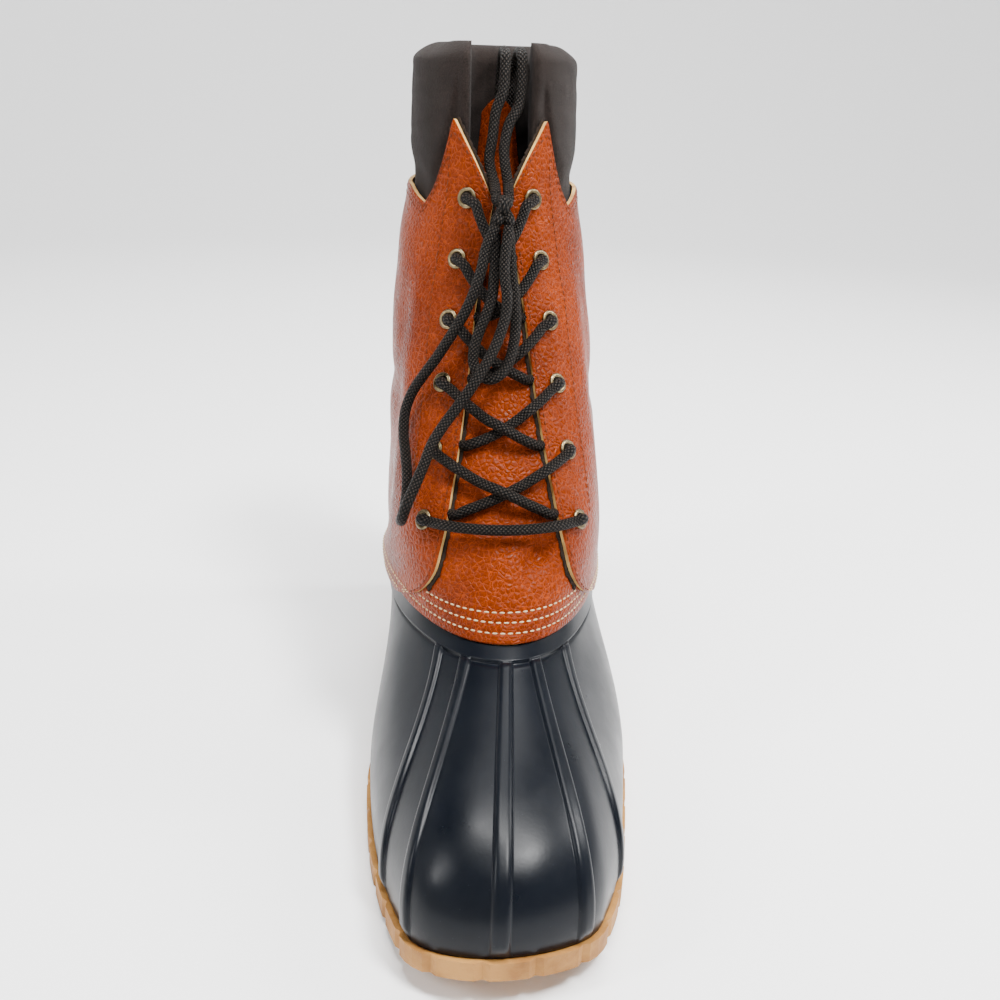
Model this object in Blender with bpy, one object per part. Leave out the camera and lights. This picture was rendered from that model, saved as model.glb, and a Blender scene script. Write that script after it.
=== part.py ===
"""Lace-up boot with a moulded rubber bottom and a leather shaft, left foot.

Metres, +Z up. The toe points to -Y and the heel to +Y. The inner side of the
foot is -X and the outer side is +X. The origin is on the floor, below the
middle of the boot's box.

Every surface comes from two functions. rubber_form gives the outside of the
rubber bottom, from the sole's edge up to the leather's lower edge. shaft_form
gives the shaft above it, as level rings. Both take an angle round the boot,
0 at the toe, +pi or -pi at the heel, positive on the outer side.
"""
import math

import bmesh
import bpy
import numpy as np

# Driving sizes, in metres
LENGTH = 0.300            # outsole, from toe to heel
BALL_WIDTH = 0.110        # outsole, across the ball of the foot
HEEL_WIDTH = 0.081        # outsole, across the heel
SHAFT_WIDTH = 0.090       # across the shaft just above the rubber
HEIGHT = 0.292            # floor to the top of the collar
RIM_HEIGHT = 0.075        # floor to the leather's lower edge, at the front
HEEL_HEIGHT = 0.024       # floor to the rubber bottom's underside at the heel
TOE_SHIFT = 0.009         # how far the toe leans to the inner side

RUBBER_WALL = 0.0026
RUBBER_FLOOR = 0.003
LEATHER = 0.0020
INSOLE = 0.004
GAP = 0.0003              # between pieces that lie on each other
SOLE_EDGE = 0.0022        # how far the outsole stands out past the rubber

SCALLOP_PITCH = 0.018     # notches in the outsole's edge
SCALLOP_DEPTH = 0.0012
SCALLOP_WIDTH = 0.005
GROOVE_PITCH = 0.0135     # cross grooves in the tread
GROOVE_WIDTH = 0.0032
GROOVE_DEPTH = 0.0030
GROOVE_WAVE = 0.0030

RIB_WIDTH = 0.0066        # raised ribs on the toe, at their foot
RIB_CROWN = 0.0040        # the same ribs, across their top
RIB_RAISE = 0.0015
BAND_WIDTH = 0.009        # raised band under the leather's lower edge
BAND_RAISE = 0.0009
RIM_LAP = 0.012           # how far the rubber goes up inside the leather
RIM_DIP = 0.004           # the rim is lower at the sides than at its ends

EYELET_SET = 0.0115       # eyelet centre to the facing's front edge
EYELET_OUTER = 0.00425    # radius of the flange
EYELET_HOLE = 0.0024      # radius of the hole
EYELET_BARREL = 0.00285   # radius of the barrel's outside
EYELET_RISE = 0.0012      # flange height above the leather
EYELETS_PER_SIDE = 6
LOWEST_EYELET = 0.110     # floor to the lowest eyelet
HIGHEST_EYELET = 0.232    # floor to the highest one

TONGUE_TOP = 0.272        # floor to the top of the tongue
COLLAR_FOOT = 0.206       # floor to the collar's hidden lower edge
COLLAR_THICK = 0.017      # the padding near the collar's top
COLLAR_HEM = 0.003        # the padding at its hidden lower edge
COLLAR_SPLIT = 0.0125     # half the opening between the collar's front ends
LACE = 0.0044             # lace diameter
LACE_CLEAR = 0.0005       # air between a lace and what it crosses

# Outsole outline: share of the length from the toe, then the inner and the
# outer half width as shares of those of an ellipse
OUTLINE = (
    # length, inner, outer
    (0.00, 1.66, 1.66),
    (0.03, 1.50, 1.58),
    (0.08, 1.25, 1.27),
    (0.15, 1.146, 1.11),
    (0.22, 1.109, 1.028),
    (0.30, 1.069, 1.000),
    (0.38, 1.026, 1.015),
    (0.46, 0.960, 1.040),
    (0.55, 0.880, 1.040),
    (0.65, 0.885, 1.060),
    (0.75, 1.060, 1.170),
    (0.85, 1.335, 1.375),
    (0.92, 1.510, 1.535),
    (0.97, 1.590, 1.600),
    (1.00, 1.620, 1.620),
)

# Outsole seen from the side: share of the length from the toe, underside and
# upper face as shares of HEEL_HEIGHT
SOLE_SIDE = (
    # length, under, upper
    (0.00, 0.46, 0.78),
    (0.05, 0.28, 0.62),
    (0.11, 0.12, 0.46),
    (0.18, 0.00, 0.35),
    (0.30, 0.00, 0.33),
    (0.42, 0.00, 0.36),
    (0.49, 0.08, 0.43),
    (0.57, 0.22, 0.58),
    (0.65, 0.38, 0.78),
    (0.72, 0.46, 0.93),
    (0.80, 0.48, 1.00),
    (1.00, 0.48, 1.00),
)
HEEL_BREAST = 0.705       # front of the heel block, share of the length

# Level rings of the shaft: height as a share of the way from RIM_HEIGHT to
# HEIGHT, front and back as shares of LENGTH from the toe, inner and outer
# half width as shares of half SHAFT_WIDTH, squareness of front and back
# (2 is an ellipse)
LEVELS = (
    # height, front, back, inner, outer, front squareness, back squareness
    (0.000, 0.340, 0.978, 1.010, 1.020, 1.40, 2.60),
    (0.060, 0.371, 0.977, 0.990, 1.005, 2.10, 2.60),
    (0.134, 0.412, 0.973, 0.970, 0.995, 2.90, 2.60),
    (0.217, 0.459, 0.968, 0.955, 0.990, 2.90, 2.50),
    (0.323, 0.516, 0.965, 0.944, 0.985, 2.25, 2.40),
    (0.438, 0.570, 0.965, 0.922, 0.965, 1.85, 2.30),
    (0.558, 0.609, 0.970, 0.885, 0.911, 1.70, 2.20),
    (0.645, 0.628, 0.973, 0.838, 0.860, 1.60, 2.20),
    (0.705, 0.638, 0.975, 0.796, 0.818, 1.60, 2.20),
    (0.760, 0.644, 0.976, 0.770, 0.792, 1.60, 2.20),
    (0.862, 0.651, 0.977, 0.756, 0.778, 1.60, 2.20),
    (1.000, 0.655, 0.978, 0.735, 0.757, 1.60, 2.20),
)

# Facings: height as above, half opening between the two front edges as a
# share of half SHAFT_WIDTH, and how far the tongue reaches past them (radians)
FACINGS = (
    # height, half opening, tongue lap
    (0.000, 0.890, 0.50),
    (0.040, 0.690, 0.50),
    (0.080, 0.570, 0.50),
    (0.134, 0.500, 0.50),
    (0.217, 0.422, 0.50),
    (0.323, 0.329, 0.50),
    (0.438, 0.251, 0.50),
    (0.558, 0.182, 0.52),
    (0.645, 0.122, 0.56),
    (0.719, 0.060, 0.60),
    (1.000, 0.060, 0.66),
)

# Top edge of the quarters: share of the way from the front edge to the back,
# and height as a share of HEIGHT. The highest row is the ear's tip.
TOP_EDGE = (
    # way back, height
    (0.000, 0.791),
    (0.090, 0.848),
    (0.176, 0.901),
    (0.215, 0.850),
    (0.250, 0.806),
    (0.285, 0.780),
    (0.330, 0.786),
    (0.420, 0.800),
    (0.700, 0.806),
    (1.000, 0.812),
)

# Ribs on the toe: side (+1 outer, -1 inner, 0 middle) and where each one
# meets the sole, as a share of the length from the toe
RIBS = (
    # side, place
    (0, 0.000),
    (1, 0.028),
    (1, 0.147),
    (-1, 0.053),
    (-1, 0.150),
)

# The two hanging loops and the two ends of the lace, as points chosen by
# hand: X, Y and Z in metres
LOOP_LEFT = (
    (-0.0024, 0.0231, 0.2252), (-0.0064, 0.0216, 0.2166), (-0.0084, 0.0186, 0.2082),
    (-0.0104, 0.0174, 0.2017), (-0.0130, 0.0167, 0.1950), (-0.0166, 0.0162, 0.1879),
    (-0.0214, 0.0164, 0.1798), (-0.0262, 0.0172, 0.1719), (-0.0314, 0.0185, 0.1643),
    (-0.0360, 0.0201, 0.1565), (-0.0389, 0.0203, 0.1482), (-0.0397, 0.0166, 0.1400),
    (-0.0389, 0.0101, 0.1327), (-0.0383, 0.0038, 0.1255), (-0.0386, -0.0011, 0.1187),
    (-0.0393, -0.0045, 0.1147), (-0.0404, -0.0099, 0.1128), (-0.0407, -0.0161, 0.1140),
    (-0.0400, -0.0208, 0.1179), (-0.0383, -0.0218, 0.1235), (-0.0352, -0.0185, 0.1298),
    (-0.0317, -0.0132, 0.1365), (-0.0283, -0.0077, 0.1435), (-0.0241, -0.0044, 0.1495),
    (-0.0193, -0.0022, 0.1556), (-0.0136, -0.0005, 0.1632), (-0.0082, 0.0018, 0.1713),
    (-0.0041, 0.0048, 0.1781), (-0.0010, 0.0082, 0.1848), (0.0011, 0.0112, 0.1913),
    (0.0016, 0.0140, 0.1982), (0.0007, 0.0170, 0.2057), (0.0023, 0.0232, 0.2252),
)
LOOP_RIGHT = (
    (0.0026, 0.0279, 0.2238), (0.0042, 0.0213, 0.2039), (0.0053, 0.0187, 0.1958),
    (0.0057, 0.0152, 0.1869), (0.0046, 0.0112, 0.1788), (0.0024, 0.0073, 0.1725),
    (-0.0011, 0.0046, 0.1683), (-0.0052, 0.0042, 0.1667), (-0.0092, 0.0058, 0.1681),
    (-0.0115, 0.0090, 0.1722), (-0.0111, 0.0120, 0.1777), (-0.0091, 0.0143, 0.1838),
    (-0.0064, 0.0163, 0.1899), (-0.0040, 0.0188, 0.1966), (-0.0033, 0.0209, 0.2030),
    (-0.0026, 0.0283, 0.2238),
)
END_LEFT = (
    (-0.0023, 0.0334, 0.2340), (-0.0024, 0.0410, 0.2378), (-0.0043, 0.0492, 0.2473),
    (-0.0030, 0.0507, 0.2563), (-0.0019, 0.0512, 0.2660), (0.0009, 0.0514, 0.2738),
    (0.0013, 0.0519, 0.2801), (0.0016, 0.0546, 0.2861), (0.0015, 0.0610, 0.2885),
    (0.0015, 0.0678, 0.2857), (0.0012, 0.0691, 0.2795), (0.0009, 0.0693, 0.2700),
    (-0.0002, 0.0687, 0.2566), (-0.0008, 0.0667, 0.2440), (-0.0012, 0.0621, 0.2313),
)
END_RIGHT = (
    (0.0027, 0.0334, 0.2340), (0.0031, 0.0411, 0.2378), (0.0018, 0.0492, 0.2528),
    (0.0041, 0.0514, 0.2621), (0.0069, 0.0528, 0.2667), (0.0081, 0.0537, 0.2738),
    (0.0084, 0.0543, 0.2801), (0.0086, 0.0576, 0.2861), (0.0084, 0.0657, 0.2885),
    (0.0080, 0.0752, 0.2857), (0.0061, 0.0767, 0.2794), (0.0061, 0.0766, 0.2701),
    (0.0063, 0.0751, 0.2569), (0.0059, 0.0716, 0.2444), (0.0056, 0.0651, 0.2314),
)

# The knot's middle and its half sizes, in metres
KNOT_PLACE = (0.0000, 0.0270, 0.2312)
KNOT_SIZE = (0.0054, 0.0056, 0.0046)

# How finely the solids are cut into faces
LACE_SIDES = 6
EYELET_SIDES = 8


def smooth(place, rows, values):
    """Cubic curve through the rows of a table, read at each place."""
    rows = np.asarray(rows, float)
    values = np.asarray(values, float)
    slopes = np.gradient(values, rows)
    place = np.asarray(place, float)
    low = np.clip(np.searchsorted(rows, place, side="right") - 1, 0, len(rows) - 2)
    span = rows[low + 1] - rows[low]
    part = (place - rows[low]) / span
    start = (1 + 2 * part) * (1 - part) ** 2 * values[low]
    start_slope = part * (1 - part) ** 2 * span * slopes[low]
    end = part ** 2 * (3 - 2 * part) * values[low + 1]
    end_slope = part ** 2 * (part - 1) * span * slopes[low + 1]
    return start + start_slope + end + end_slope


def column(table, index):
    return [row[index] for row in table]


def lookup(table, index, place):
    return smooth(place, column(table, 0), column(table, index))


def ease(part):
    """0 below 0, 1 above 1, and a smooth step between."""
    part = np.clip(part, 0, 1)
    return part * part * (3 - 2 * part)


def wrap(angle):
    """The same angle between -pi and pi."""
    return (np.asarray(angle, float) + math.pi) % (2 * math.pi) - math.pi


def points(x, y, z):
    return np.stack(np.broadcast_arrays(x, y, z), axis=-1)


def unit(vectors):
    return vectors / np.maximum(np.linalg.norm(vectors, axis=-1, keepdims=True), 1e-12)


def leaning_outline(angle):
    """Outsole's edge before it is centred: an ellipse, made fuller or slimmer
    by the table, on a middle line that leans to the inner side at the toe."""
    angle = wrap(angle)
    turn = np.abs(angle)
    share = (1 - np.cos(turn)) / 2
    rows = np.arccos(1 - 2 * np.array(column(OUTLINE, 0)))
    inner = smooth(turn, rows, column(OUTLINE, 1))
    outer = smooth(turn, rows, column(OUTLINE, 2))
    to_heel = ease((share - 0.35) / 0.45)
    width = BALL_WIDTH + (HEEL_WIDTH - BALL_WIDTH) * to_heel
    lean = -TOE_SHIFT * np.clip(1 - share / 0.4, 0, 1) ** 2
    x = lean + np.sin(angle) * np.where(angle >= 0, outer, inner) * width / 2
    y = LENGTH * (share - 0.5)
    return x, y


def outline_middle():
    x, y = leaning_outline(np.linspace(-math.pi, math.pi, 2001))
    return (x.max() + x.min()) / 2


MIDDLE = outline_middle()


def outline(angle, inset=0.0):
    """Outsole's edge in plan, moved inwards by inset."""
    step = 1e-4
    x, y = leaning_outline(angle)
    ahead_x, ahead_y = leaning_outline(angle + step)
    behind_x, behind_y = leaning_outline(angle - step)
    along_x = ahead_x - behind_x
    along_y = ahead_y - behind_y
    long = np.hypot(along_x, along_y)
    out_x = along_y / long
    out_y = -along_x / long
    return x - MIDDLE - out_x * inset, y - out_y * inset, out_x, out_y


def sole_side(y, index):
    """Height of the outsole's underside (1) or upper face (2)."""
    share = np.clip(y / LENGTH + 0.5, 0, 1)
    return HEEL_HEIGHT * np.maximum(lookup(SOLE_SIDE, index, share), 0)


def level(height):
    """Height above the floor, as a share of the way from the rim to the top."""
    return (height - RIM_HEIGHT) / (HEIGHT - RIM_HEIGHT)


def shaft_form(turn, height):
    """Outside of the shaft's form: level rings whose front and back lie on the
    profile, and whose half width falls off from the widest place by a power
    that gives each end its squareness."""
    turn = wrap(turn)
    share = (1 - np.cos(turn)) / 2
    front = LENGTH * (lookup(LEVELS, 1, height) - 0.5)
    back = LENGTH * (lookup(LEVELS, 2, height) - 0.5)
    inner = lookup(LEVELS, 3, height)
    outer = lookup(LEVELS, 4, height)
    half = np.where(turn >= 0, outer, inner) * SHAFT_WIDTH / 2
    far = np.abs(np.cos(turn))
    square = np.where(share < 0.5, lookup(LEVELS, 5, height), lookup(LEVELS, 6, height))
    power = 2 + (square - 2) * far
    x = np.sign(turn) * half * np.sqrt(np.maximum(1 - far ** power, 0))
    y = front + (back - front) * share
    dip = RIM_DIP * np.clip(1 - height / 0.2, 0, 1) ** 2 * 4 * share * (1 - share)
    z = RIM_HEIGHT + height * (HEIGHT - RIM_HEIGHT) - dip
    return points(x - MIDDLE, y, z)


def outward(surface, angle, rise):
    """Unit normals of a surface of angle and rise, pointing out."""
    step = 1e-4
    along = surface(angle + step, rise) - surface(angle - step, rise)
    up = surface(angle, rise + step) - surface(angle, rise - step)
    return unit(np.cross(along, up))


def on_shaft(turn, height, lift):
    """A point of the shaft, moved out by lift."""
    turn, height = np.broadcast_arrays(np.asarray(turn, float), np.asarray(height, float))
    lift = np.asarray(lift, float)[..., None]
    return shaft_form(turn, height) + outward(shaft_form, turn, height) * lift


def rim_turn(angle):
    """Where round the rim a line up the rubber ends, from where it starts."""
    angle = wrap(angle)
    share = (1 - np.cos(angle)) / 2
    share = 0.6 * share + 0.4 * share ** 2
    return np.sign(angle) * np.arccos(1 - 2 * share)


def rubber_lines(angle):
    """The four control points of the curve that goes up the rubber."""
    x, y, out_x, out_y = outline(angle, SOLE_EDGE)
    foot = points(x, y, sole_side(y, 2) + GAP)
    turn = rim_turn(angle)
    rim = shaft_form(turn, np.zeros_like(turn))
    up = unit(shaft_form(turn, np.full_like(turn, 0.02)) - rim)
    toe = (((1 + np.cos(angle)) / 2) ** 3)[..., None]
    inward = rim - foot
    inward[..., 2] = 0
    flat = unit(inward) * math.cos(math.radians(19))
    flat[..., 2] = math.sin(math.radians(19))
    arrive = unit(flat * toe + up * (1 - toe))
    chord = np.linalg.norm(rim - foot, axis=-1, keepdims=True)
    reach = chord * (0.30 + 0.22 * toe)
    rise = (rim[..., 2] - foot[..., 2]) * (0.42 + 0.20 * toe[..., 0])
    bulge = BALL_WIDTH * 0.040
    leave = foot + points(out_x * bulge, out_y * bulge, rise)
    return foot, leave, rim - arrive * reach, rim


def rubber_form(angle, rise):
    """Outside of the rubber without ribs or band: a cubic curve from the
    sole's edge (rise 0) to the leather's lower edge (rise 1)."""
    angle, rise = np.broadcast_arrays(np.asarray(angle, float), np.asarray(rise, float))
    foot, leave, near, rim = rubber_lines(angle)
    part = rise[..., None]
    left = 1 - part
    return left ** 3 * foot + 3 * left ** 2 * part * leave + 3 * left * part ** 2 * near + part ** 3 * rim


def rubber_top_speed(angle):
    """Metres per unit of rise, where the rubber reaches the rim."""
    foot, leave, near, rim = rubber_lines(angle)
    return 3 * np.linalg.norm(rim - near, axis=-1)


def round_speed(surface, angle, rise):
    """Metres per radian round a surface."""
    step = 1e-3
    along = surface(angle + step, rise) - surface(angle - step, rise)
    return np.linalg.norm(along, axis=-1) / (2 * step)


def turn_at(opening, height):
    """The angle at which the shaft's ring is this far from its middle, for
    arrays of half openings (shares of half SHAFT_WIDTH) and heights."""
    turns = np.linspace(0, math.pi / 2, 241)
    found = []
    for wide, high in zip(np.ravel(opening), np.ravel(height)):
        ring = shaft_form(turns, np.full_like(turns, high))[:, 0] + MIDDLE
        found.append(np.interp(wide * SHAFT_WIDTH / 2, ring, turns))
    return np.array(found).reshape(np.shape(height))


def facing_edge(height):
    """Angle of the facings' front edge."""
    return turn_at(lookup(FACINGS, 1, height), height)


def tongue_edge(height):
    return facing_edge(height) + lookup(FACINGS, 2, height)


def material(name, colour, roughness, metallic=0.0):
    made = bpy.data.materials.new(name)
    made.use_nodes = True
    shader = made.node_tree.nodes["Principled BSDF"]
    shader.inputs["Base Color"].default_value = (*colour, 1.0)
    shader.inputs["Roughness"].default_value = roughness
    shader.inputs["Metallic"].default_value = metallic
    made.diffuse_color = (*colour, 1.0)
    return made


def add_object(name, verts, faces, finish):
    """A closed mesh with its faces pointing out, as one object."""
    mesh = bpy.data.meshes.new(name)
    mesh.from_pydata([tuple(v) for v in verts], [], [tuple(f) for f in faces])
    work = bmesh.new()
    work.from_mesh(mesh)
    bmesh.ops.recalc_face_normals(work, faces=work.faces)
    if work.calc_volume(signed=True) < 0:
        bmesh.ops.reverse_faces(work, faces=work.faces)
    work.to_mesh(mesh)
    work.free()
    made = bpy.data.objects.new(name, mesh)
    if finish is not None:
        mesh.materials.append(finish)
    bpy.context.scene.collection.objects.link(made)
    return made


def cut(target, tool, operation):
    """Boolean with a helper that stays out of the model."""
    step = target.modifiers.new(operation.title(), "BOOLEAN")
    step.operation = operation
    step.solver = "EXACT"
    step.object = tool
    tool.hide_render = True
    tool.display_type = "WIRE"


def grid_faces(rows, cols, start, closed):
    """Quads of a grid whose first vertex has number start."""
    faces = []
    for i in range(rows - 1):
        for j in range(cols if closed else cols - 1):
            k = (j + 1) % cols
            low = start + i * cols
            faces.append((low + j, low + k, low + cols + k, low + cols + j))
    return faces


def strip_faces(first, second, closed):
    """Quads between two rows of vertex numbers."""
    faces = []
    for j in range(len(first) if closed else len(first) - 1):
        k = (j + 1) % len(first)
        faces.append((first[j], first[k], second[k], second[j]))
    return faces


def wall(name, outer, inner, closed, finish):
    """A solid wall between two grids of the same shape. A closed one goes
    all round; an open one has end faces on its first and last columns."""
    rows, cols = outer.shape[:2]
    verts = np.concatenate([outer.reshape(-1, 3), inner.reshape(-1, 3)])
    count = rows * cols
    faces = grid_faces(rows, cols, 0, closed) + grid_faces(rows, cols, count, closed)
    number = np.arange(2 * count).reshape(2, rows, cols)
    faces += strip_faces(number[0, 0], number[1, 0], closed)
    faces += strip_faces(number[0, -1], number[1, -1], closed)
    if not closed:
        faces += strip_faces(number[0, :, 0], number[1, :, 0], False)
        faces += strip_faces(number[0, :, -1], number[1, :, -1], False)
    return add_object(name, verts, faces, finish)


def plate_faces(ring):
    """Cross strips over a ring of vertex numbers: the first and last are the
    pair nearest the toe, and the one in the middle is the heel's."""
    half = (len(ring) - 1) // 2
    faces = []
    for j in range(half - 1):
        faces.append((ring[j], ring[j + 1], ring[-2 - j], ring[-1 - j]))
    faces.append((ring[half - 1], ring[half], ring[half + 1]))
    return faces


def prism(name, plan, low, high):
    """A straight block on a flat outline, for cutting."""
    count = len(plan)
    verts = [(x, y, low) for x, y in plan] + [(x, y, high) for x, y in plan]
    faces = [tuple(range(count)), tuple(range(count, 2 * count))]
    faces += strip_faces(list(range(count)), list(range(count, 2 * count)), True)
    return add_object(name, verts, faces, None)


def tube_mesh(path, radius, sides):
    """Vertices and faces of a round tube with flat ends along a path."""
    path = np.asarray(path, float)
    along = unit(np.gradient(path, axis=0))
    across = unit(np.cross(along[0], (0.0, 0.0, 1.0)))
    verts = []
    for centre, ahead in zip(path, along):
        across = unit(across - ahead * np.dot(across, ahead))
        over = np.cross(ahead, across)
        for k in range(sides):
            angle = 2 * math.pi * (k + 0.5) / sides
            verts.append(centre + radius * (math.cos(angle) * across + math.sin(angle) * over))
    faces = grid_faces(len(path), sides, 0, True)
    last = (len(path) - 1) * sides
    faces.append(tuple(range(sides)))
    faces.append(tuple(range(last, last + sides)))
    return verts, faces


def even_path(route, spacing):
    """Points a fixed distance apart on a smooth curve through a route."""
    route = np.asarray(route, float)
    steps = np.linalg.norm(np.diff(route, axis=0), axis=1)
    marks = np.concatenate([[0], np.cumsum(steps)])
    fine = np.linspace(0, marks[-1], 600)
    curve = np.stack([smooth(fine, marks, route[:, k]) for k in range(3)], axis=-1)
    run = np.concatenate([[0], np.cumsum(np.linalg.norm(np.diff(curve, axis=0), axis=1))])
    count = max(int(round(run[-1] / spacing)), 3) + 1
    places = np.linspace(0, run[-1], count)
    return np.stack([np.interp(places, run, curve[:, k]) for k in range(3)], axis=-1)


def side_columns(side):
    """Columns of the rubber's grid on one side, from the toe to the heel: base
    angle, shift along the surface in metres, and share of the ribs' height."""
    foot = RIB_WIDTH / 2
    crown = RIB_CROWN / 2
    made = [(0.0, side * crown, 1.0), (0.0, side * foot, 0.0)]
    last = 0.0
    for rib_side, place in RIBS:
        if rib_side != side:
            continue
        base = math.acos(1 - 2 * place)
        made.append((side * (last + base) / 2, 0.0, 0.0))
        for shift, height in ((-foot, 0.0), (-crown, 1.0), (crown, 1.0), (foot, 0.0)):
            made.append((side * base, side * shift, height))
        last = base
    for angle in np.linspace(0.99, math.pi, 16)[:-1]:
        made.append((side * angle, 0.0, 0.0))
    return made


def rubber_columns():
    return side_columns(1) + [(math.pi, 0.0, 0.0)] + side_columns(-1)[::-1]


COLUMNS = rubber_columns()
BASE = np.array([row[0] for row in COLUMNS])
SHIFT = np.array([row[1] for row in COLUMNS])
ON_RIB = np.array([row[2] for row in COLUMNS])


def sole_profile():
    """The outsole from the side: along the underside with its heel block,
    and back along the upper face, with a corner at each of the rubber's."""
    under = np.linspace(0.0, HEEL_BREAST - 0.012, 26)
    low = [(-LENGTH * 0.53, sole_side(-LENGTH / 2, 1))]
    low += [(LENGTH * (s - 0.5), float(sole_side(LENGTH * (s - 0.5), 1))) for s in under]
    low += [(LENGTH * (HEEL_BREAST - 0.5), 0.0), (LENGTH * 0.472, 0.0)]
    low += [(LENGTH * 0.53, HEEL_HEIGHT * 0.12)]
    half = (len(BASE) - 1) // 2
    tops = np.sort(outline(BASE[:half + 1], SOLE_EDGE)[1])
    high = [(-LENGTH * 0.53, float(sole_side(-LENGTH / 2, 2)))]
    high += [(float(y), float(sole_side(y, 2))) for y in tops]
    high += [(LENGTH * 0.53, float(sole_side(LENGTH / 2, 2)))]
    return low + high[::-1]


def scalloped_plan():
    """The sole's outline with its notches, as points in plan."""
    fine = np.linspace(-math.pi, math.pi, 4001)
    x, y = outline(fine)[:2]
    run = np.concatenate([[0], np.cumsum(np.hypot(np.diff(x), np.diff(y)))])
    count = int(round(run[-1] / SCALLOP_PITCH))
    pitch = run[-1] / count
    edge = SCALLOP_WIDTH / 2
    plan = []
    for k in range(count):
        for step, depth in ((0.0, 1.0), (edge, 0.0), (pitch * 0.38, 0.0), (pitch * 0.62, 0.0), (pitch - edge, 0.0)):
            angle = np.interp(pitch * k + step, run, fine)
            px, py = outline(angle, SCALLOP_DEPTH * depth)[:2]
            plan.append((float(px), float(py)))
    return plan


def add_outsole(finish):
    sole = prism("outsole", scalloped_plan(), -0.02, 0.06)
    profile = sole_profile()
    side = [(-0.1, y, z) for y, z in profile] + [(0.1, y, z) for y, z in profile]
    count = len(profile)
    faces = [tuple(range(count)), tuple(range(count, 2 * count))]
    faces += strip_faces(list(range(count)), list(range(count, 2 * count)), True)
    shape = add_object("sole_side_tool", side, faces, None)
    cut(sole, shape, "INTERSECT")
    verts = []
    faces = []
    places = list(np.arange(0.05, 0.47, GROOVE_PITCH / LENGTH))
    places += list(np.arange(HEEL_BREAST + 0.035, 0.965, GROOVE_PITCH / LENGTH))
    for share in places:
        y = LENGTH * (share - 0.5)
        angle = math.acos(1 - 2 * share)
        left = float(outline(-angle, 0.008)[0])
        right = float(outline(angle, 0.008)[0])
        under = 0.0 if share > HEEL_BREAST else float(sole_side(y, 1))
        start = len(verts)
        for low, high in ((-1, -0.01), (1, under + GROOVE_DEPTH)):
            for edge in (-GROOVE_WIDTH / 2, GROOVE_WIDTH / 2):
                for k in range(5):
                    wave = GROOVE_WAVE * (0.5 - (k % 2))
                    verts.append((left + (right - left) * k / 4, y + edge + wave, high))
        rows = np.arange(start, start + 20).reshape(4, 5)
        faces += strip_faces(rows[0], rows[1], False) + strip_faces(rows[2], rows[3], False)
        faces += strip_faces(rows[0], rows[2], False) + strip_faces(rows[1], rows[3], False)
        for k in (0, 4):
            faces.append((rows[0, k], rows[1, k], rows[3, k], rows[2, k]))
    grooves = add_object("groove_tool", verts, faces, None)
    cut(sole, grooves, "DIFFERENCE")
    sole.data.materials.append(finish)
    return sole


def rubber_rows():
    """Rows of the rubber's grid below the rim: rise where it is a share of the
    curve, drop below the rim in metres (or None), and the band's share."""
    rows = [(rise, None, 0.0) for rise in (0.0, 0.10, 0.24, 0.40, 0.57, 0.74)]
    rows += [(None, BAND_WIDTH + 0.0012, 0.0), (None, BAND_WIDTH, 1.0), (None, BAND_WIDTH / 2, 1.0)]
    rows += [(None, 0.0012, 1.0), (None, 0.0005, 0.0)]
    return rows


def add_rubber_shell(finish):
    """Outer grid with ribs and band, inner grid a wall thickness inside, both
    going on up the shaft's form inside the leather, and a floor."""
    outer = []
    inner = []
    speed = rubber_top_speed(BASE)
    band_top = 1 - (BAND_WIDTH + 0.0012) / speed
    for rise, drop, band in rubber_rows():
        if drop is None:
            at = rise / 0.87 * band_top
        else:
            at = 1 - drop / speed
        angle = BASE + SHIFT / round_speed(rubber_form, BASE, at * np.ones_like(BASE))
        at = at * np.ones_like(BASE)
        spot = rubber_form(angle, at)
        normal = outward(rubber_form, angle, at)
        ribs = ON_RIB * RIB_RAISE * (ease(at / 0.06) if drop is None else 0.0)
        if drop is not None and band == 0.0 and drop > BAND_WIDTH:
            ribs = ON_RIB * RIB_RAISE
        raised = np.maximum(ribs, band * BAND_RAISE)
        outer.append(spot + normal * raised[:, None])
        inside = spot - normal * RUBBER_WALL
        if rise == 0.0:
            flat = spot - unit(normal * (1, 1, 0)) * RUBBER_WALL
            flat[:, 2] = sole_side(flat[:, 1], 2) + GAP + RUBBER_FLOOR
            inside = flat
        if band == 0.0 and drop != BAND_WIDTH + 0.0012:
            inner.append(inside)
    turn = rim_turn(BASE)
    for share, wall_share in ((0.06, 1.0), (0.5, 0.9), (1.0, 0.7)):
        height = share * RIM_LAP / (HEIGHT - RIM_HEIGHT) * np.ones_like(turn)
        sink = GAP * (2.5 if share > 0.1 else 1.5)
        outer.append(on_shaft(turn, height, -sink))
        inner.append(on_shaft(turn, height, -sink - RUBBER_WALL * wall_share))
    outer = np.array(outer)
    inner = np.array(inner)
    rows, cols = outer.shape[:2]
    verts = np.concatenate([outer.reshape(-1, 3), inner.reshape(-1, 3)])
    out_rows = np.arange(rows * cols).reshape(rows, cols)
    in_rows = rows * cols + np.arange(len(inner) * cols).reshape(-1, cols)
    faces = grid_faces(rows, cols, 0, True) + grid_faces(len(inner), cols, rows * cols, True)
    faces += plate_faces(list(out_rows[0])) + plate_faces(list(in_rows[0]))
    faces += strip_faces(out_rows[-1], in_rows[-1], True)
    return add_object("rubber_shell", verts, faces, finish)


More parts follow.
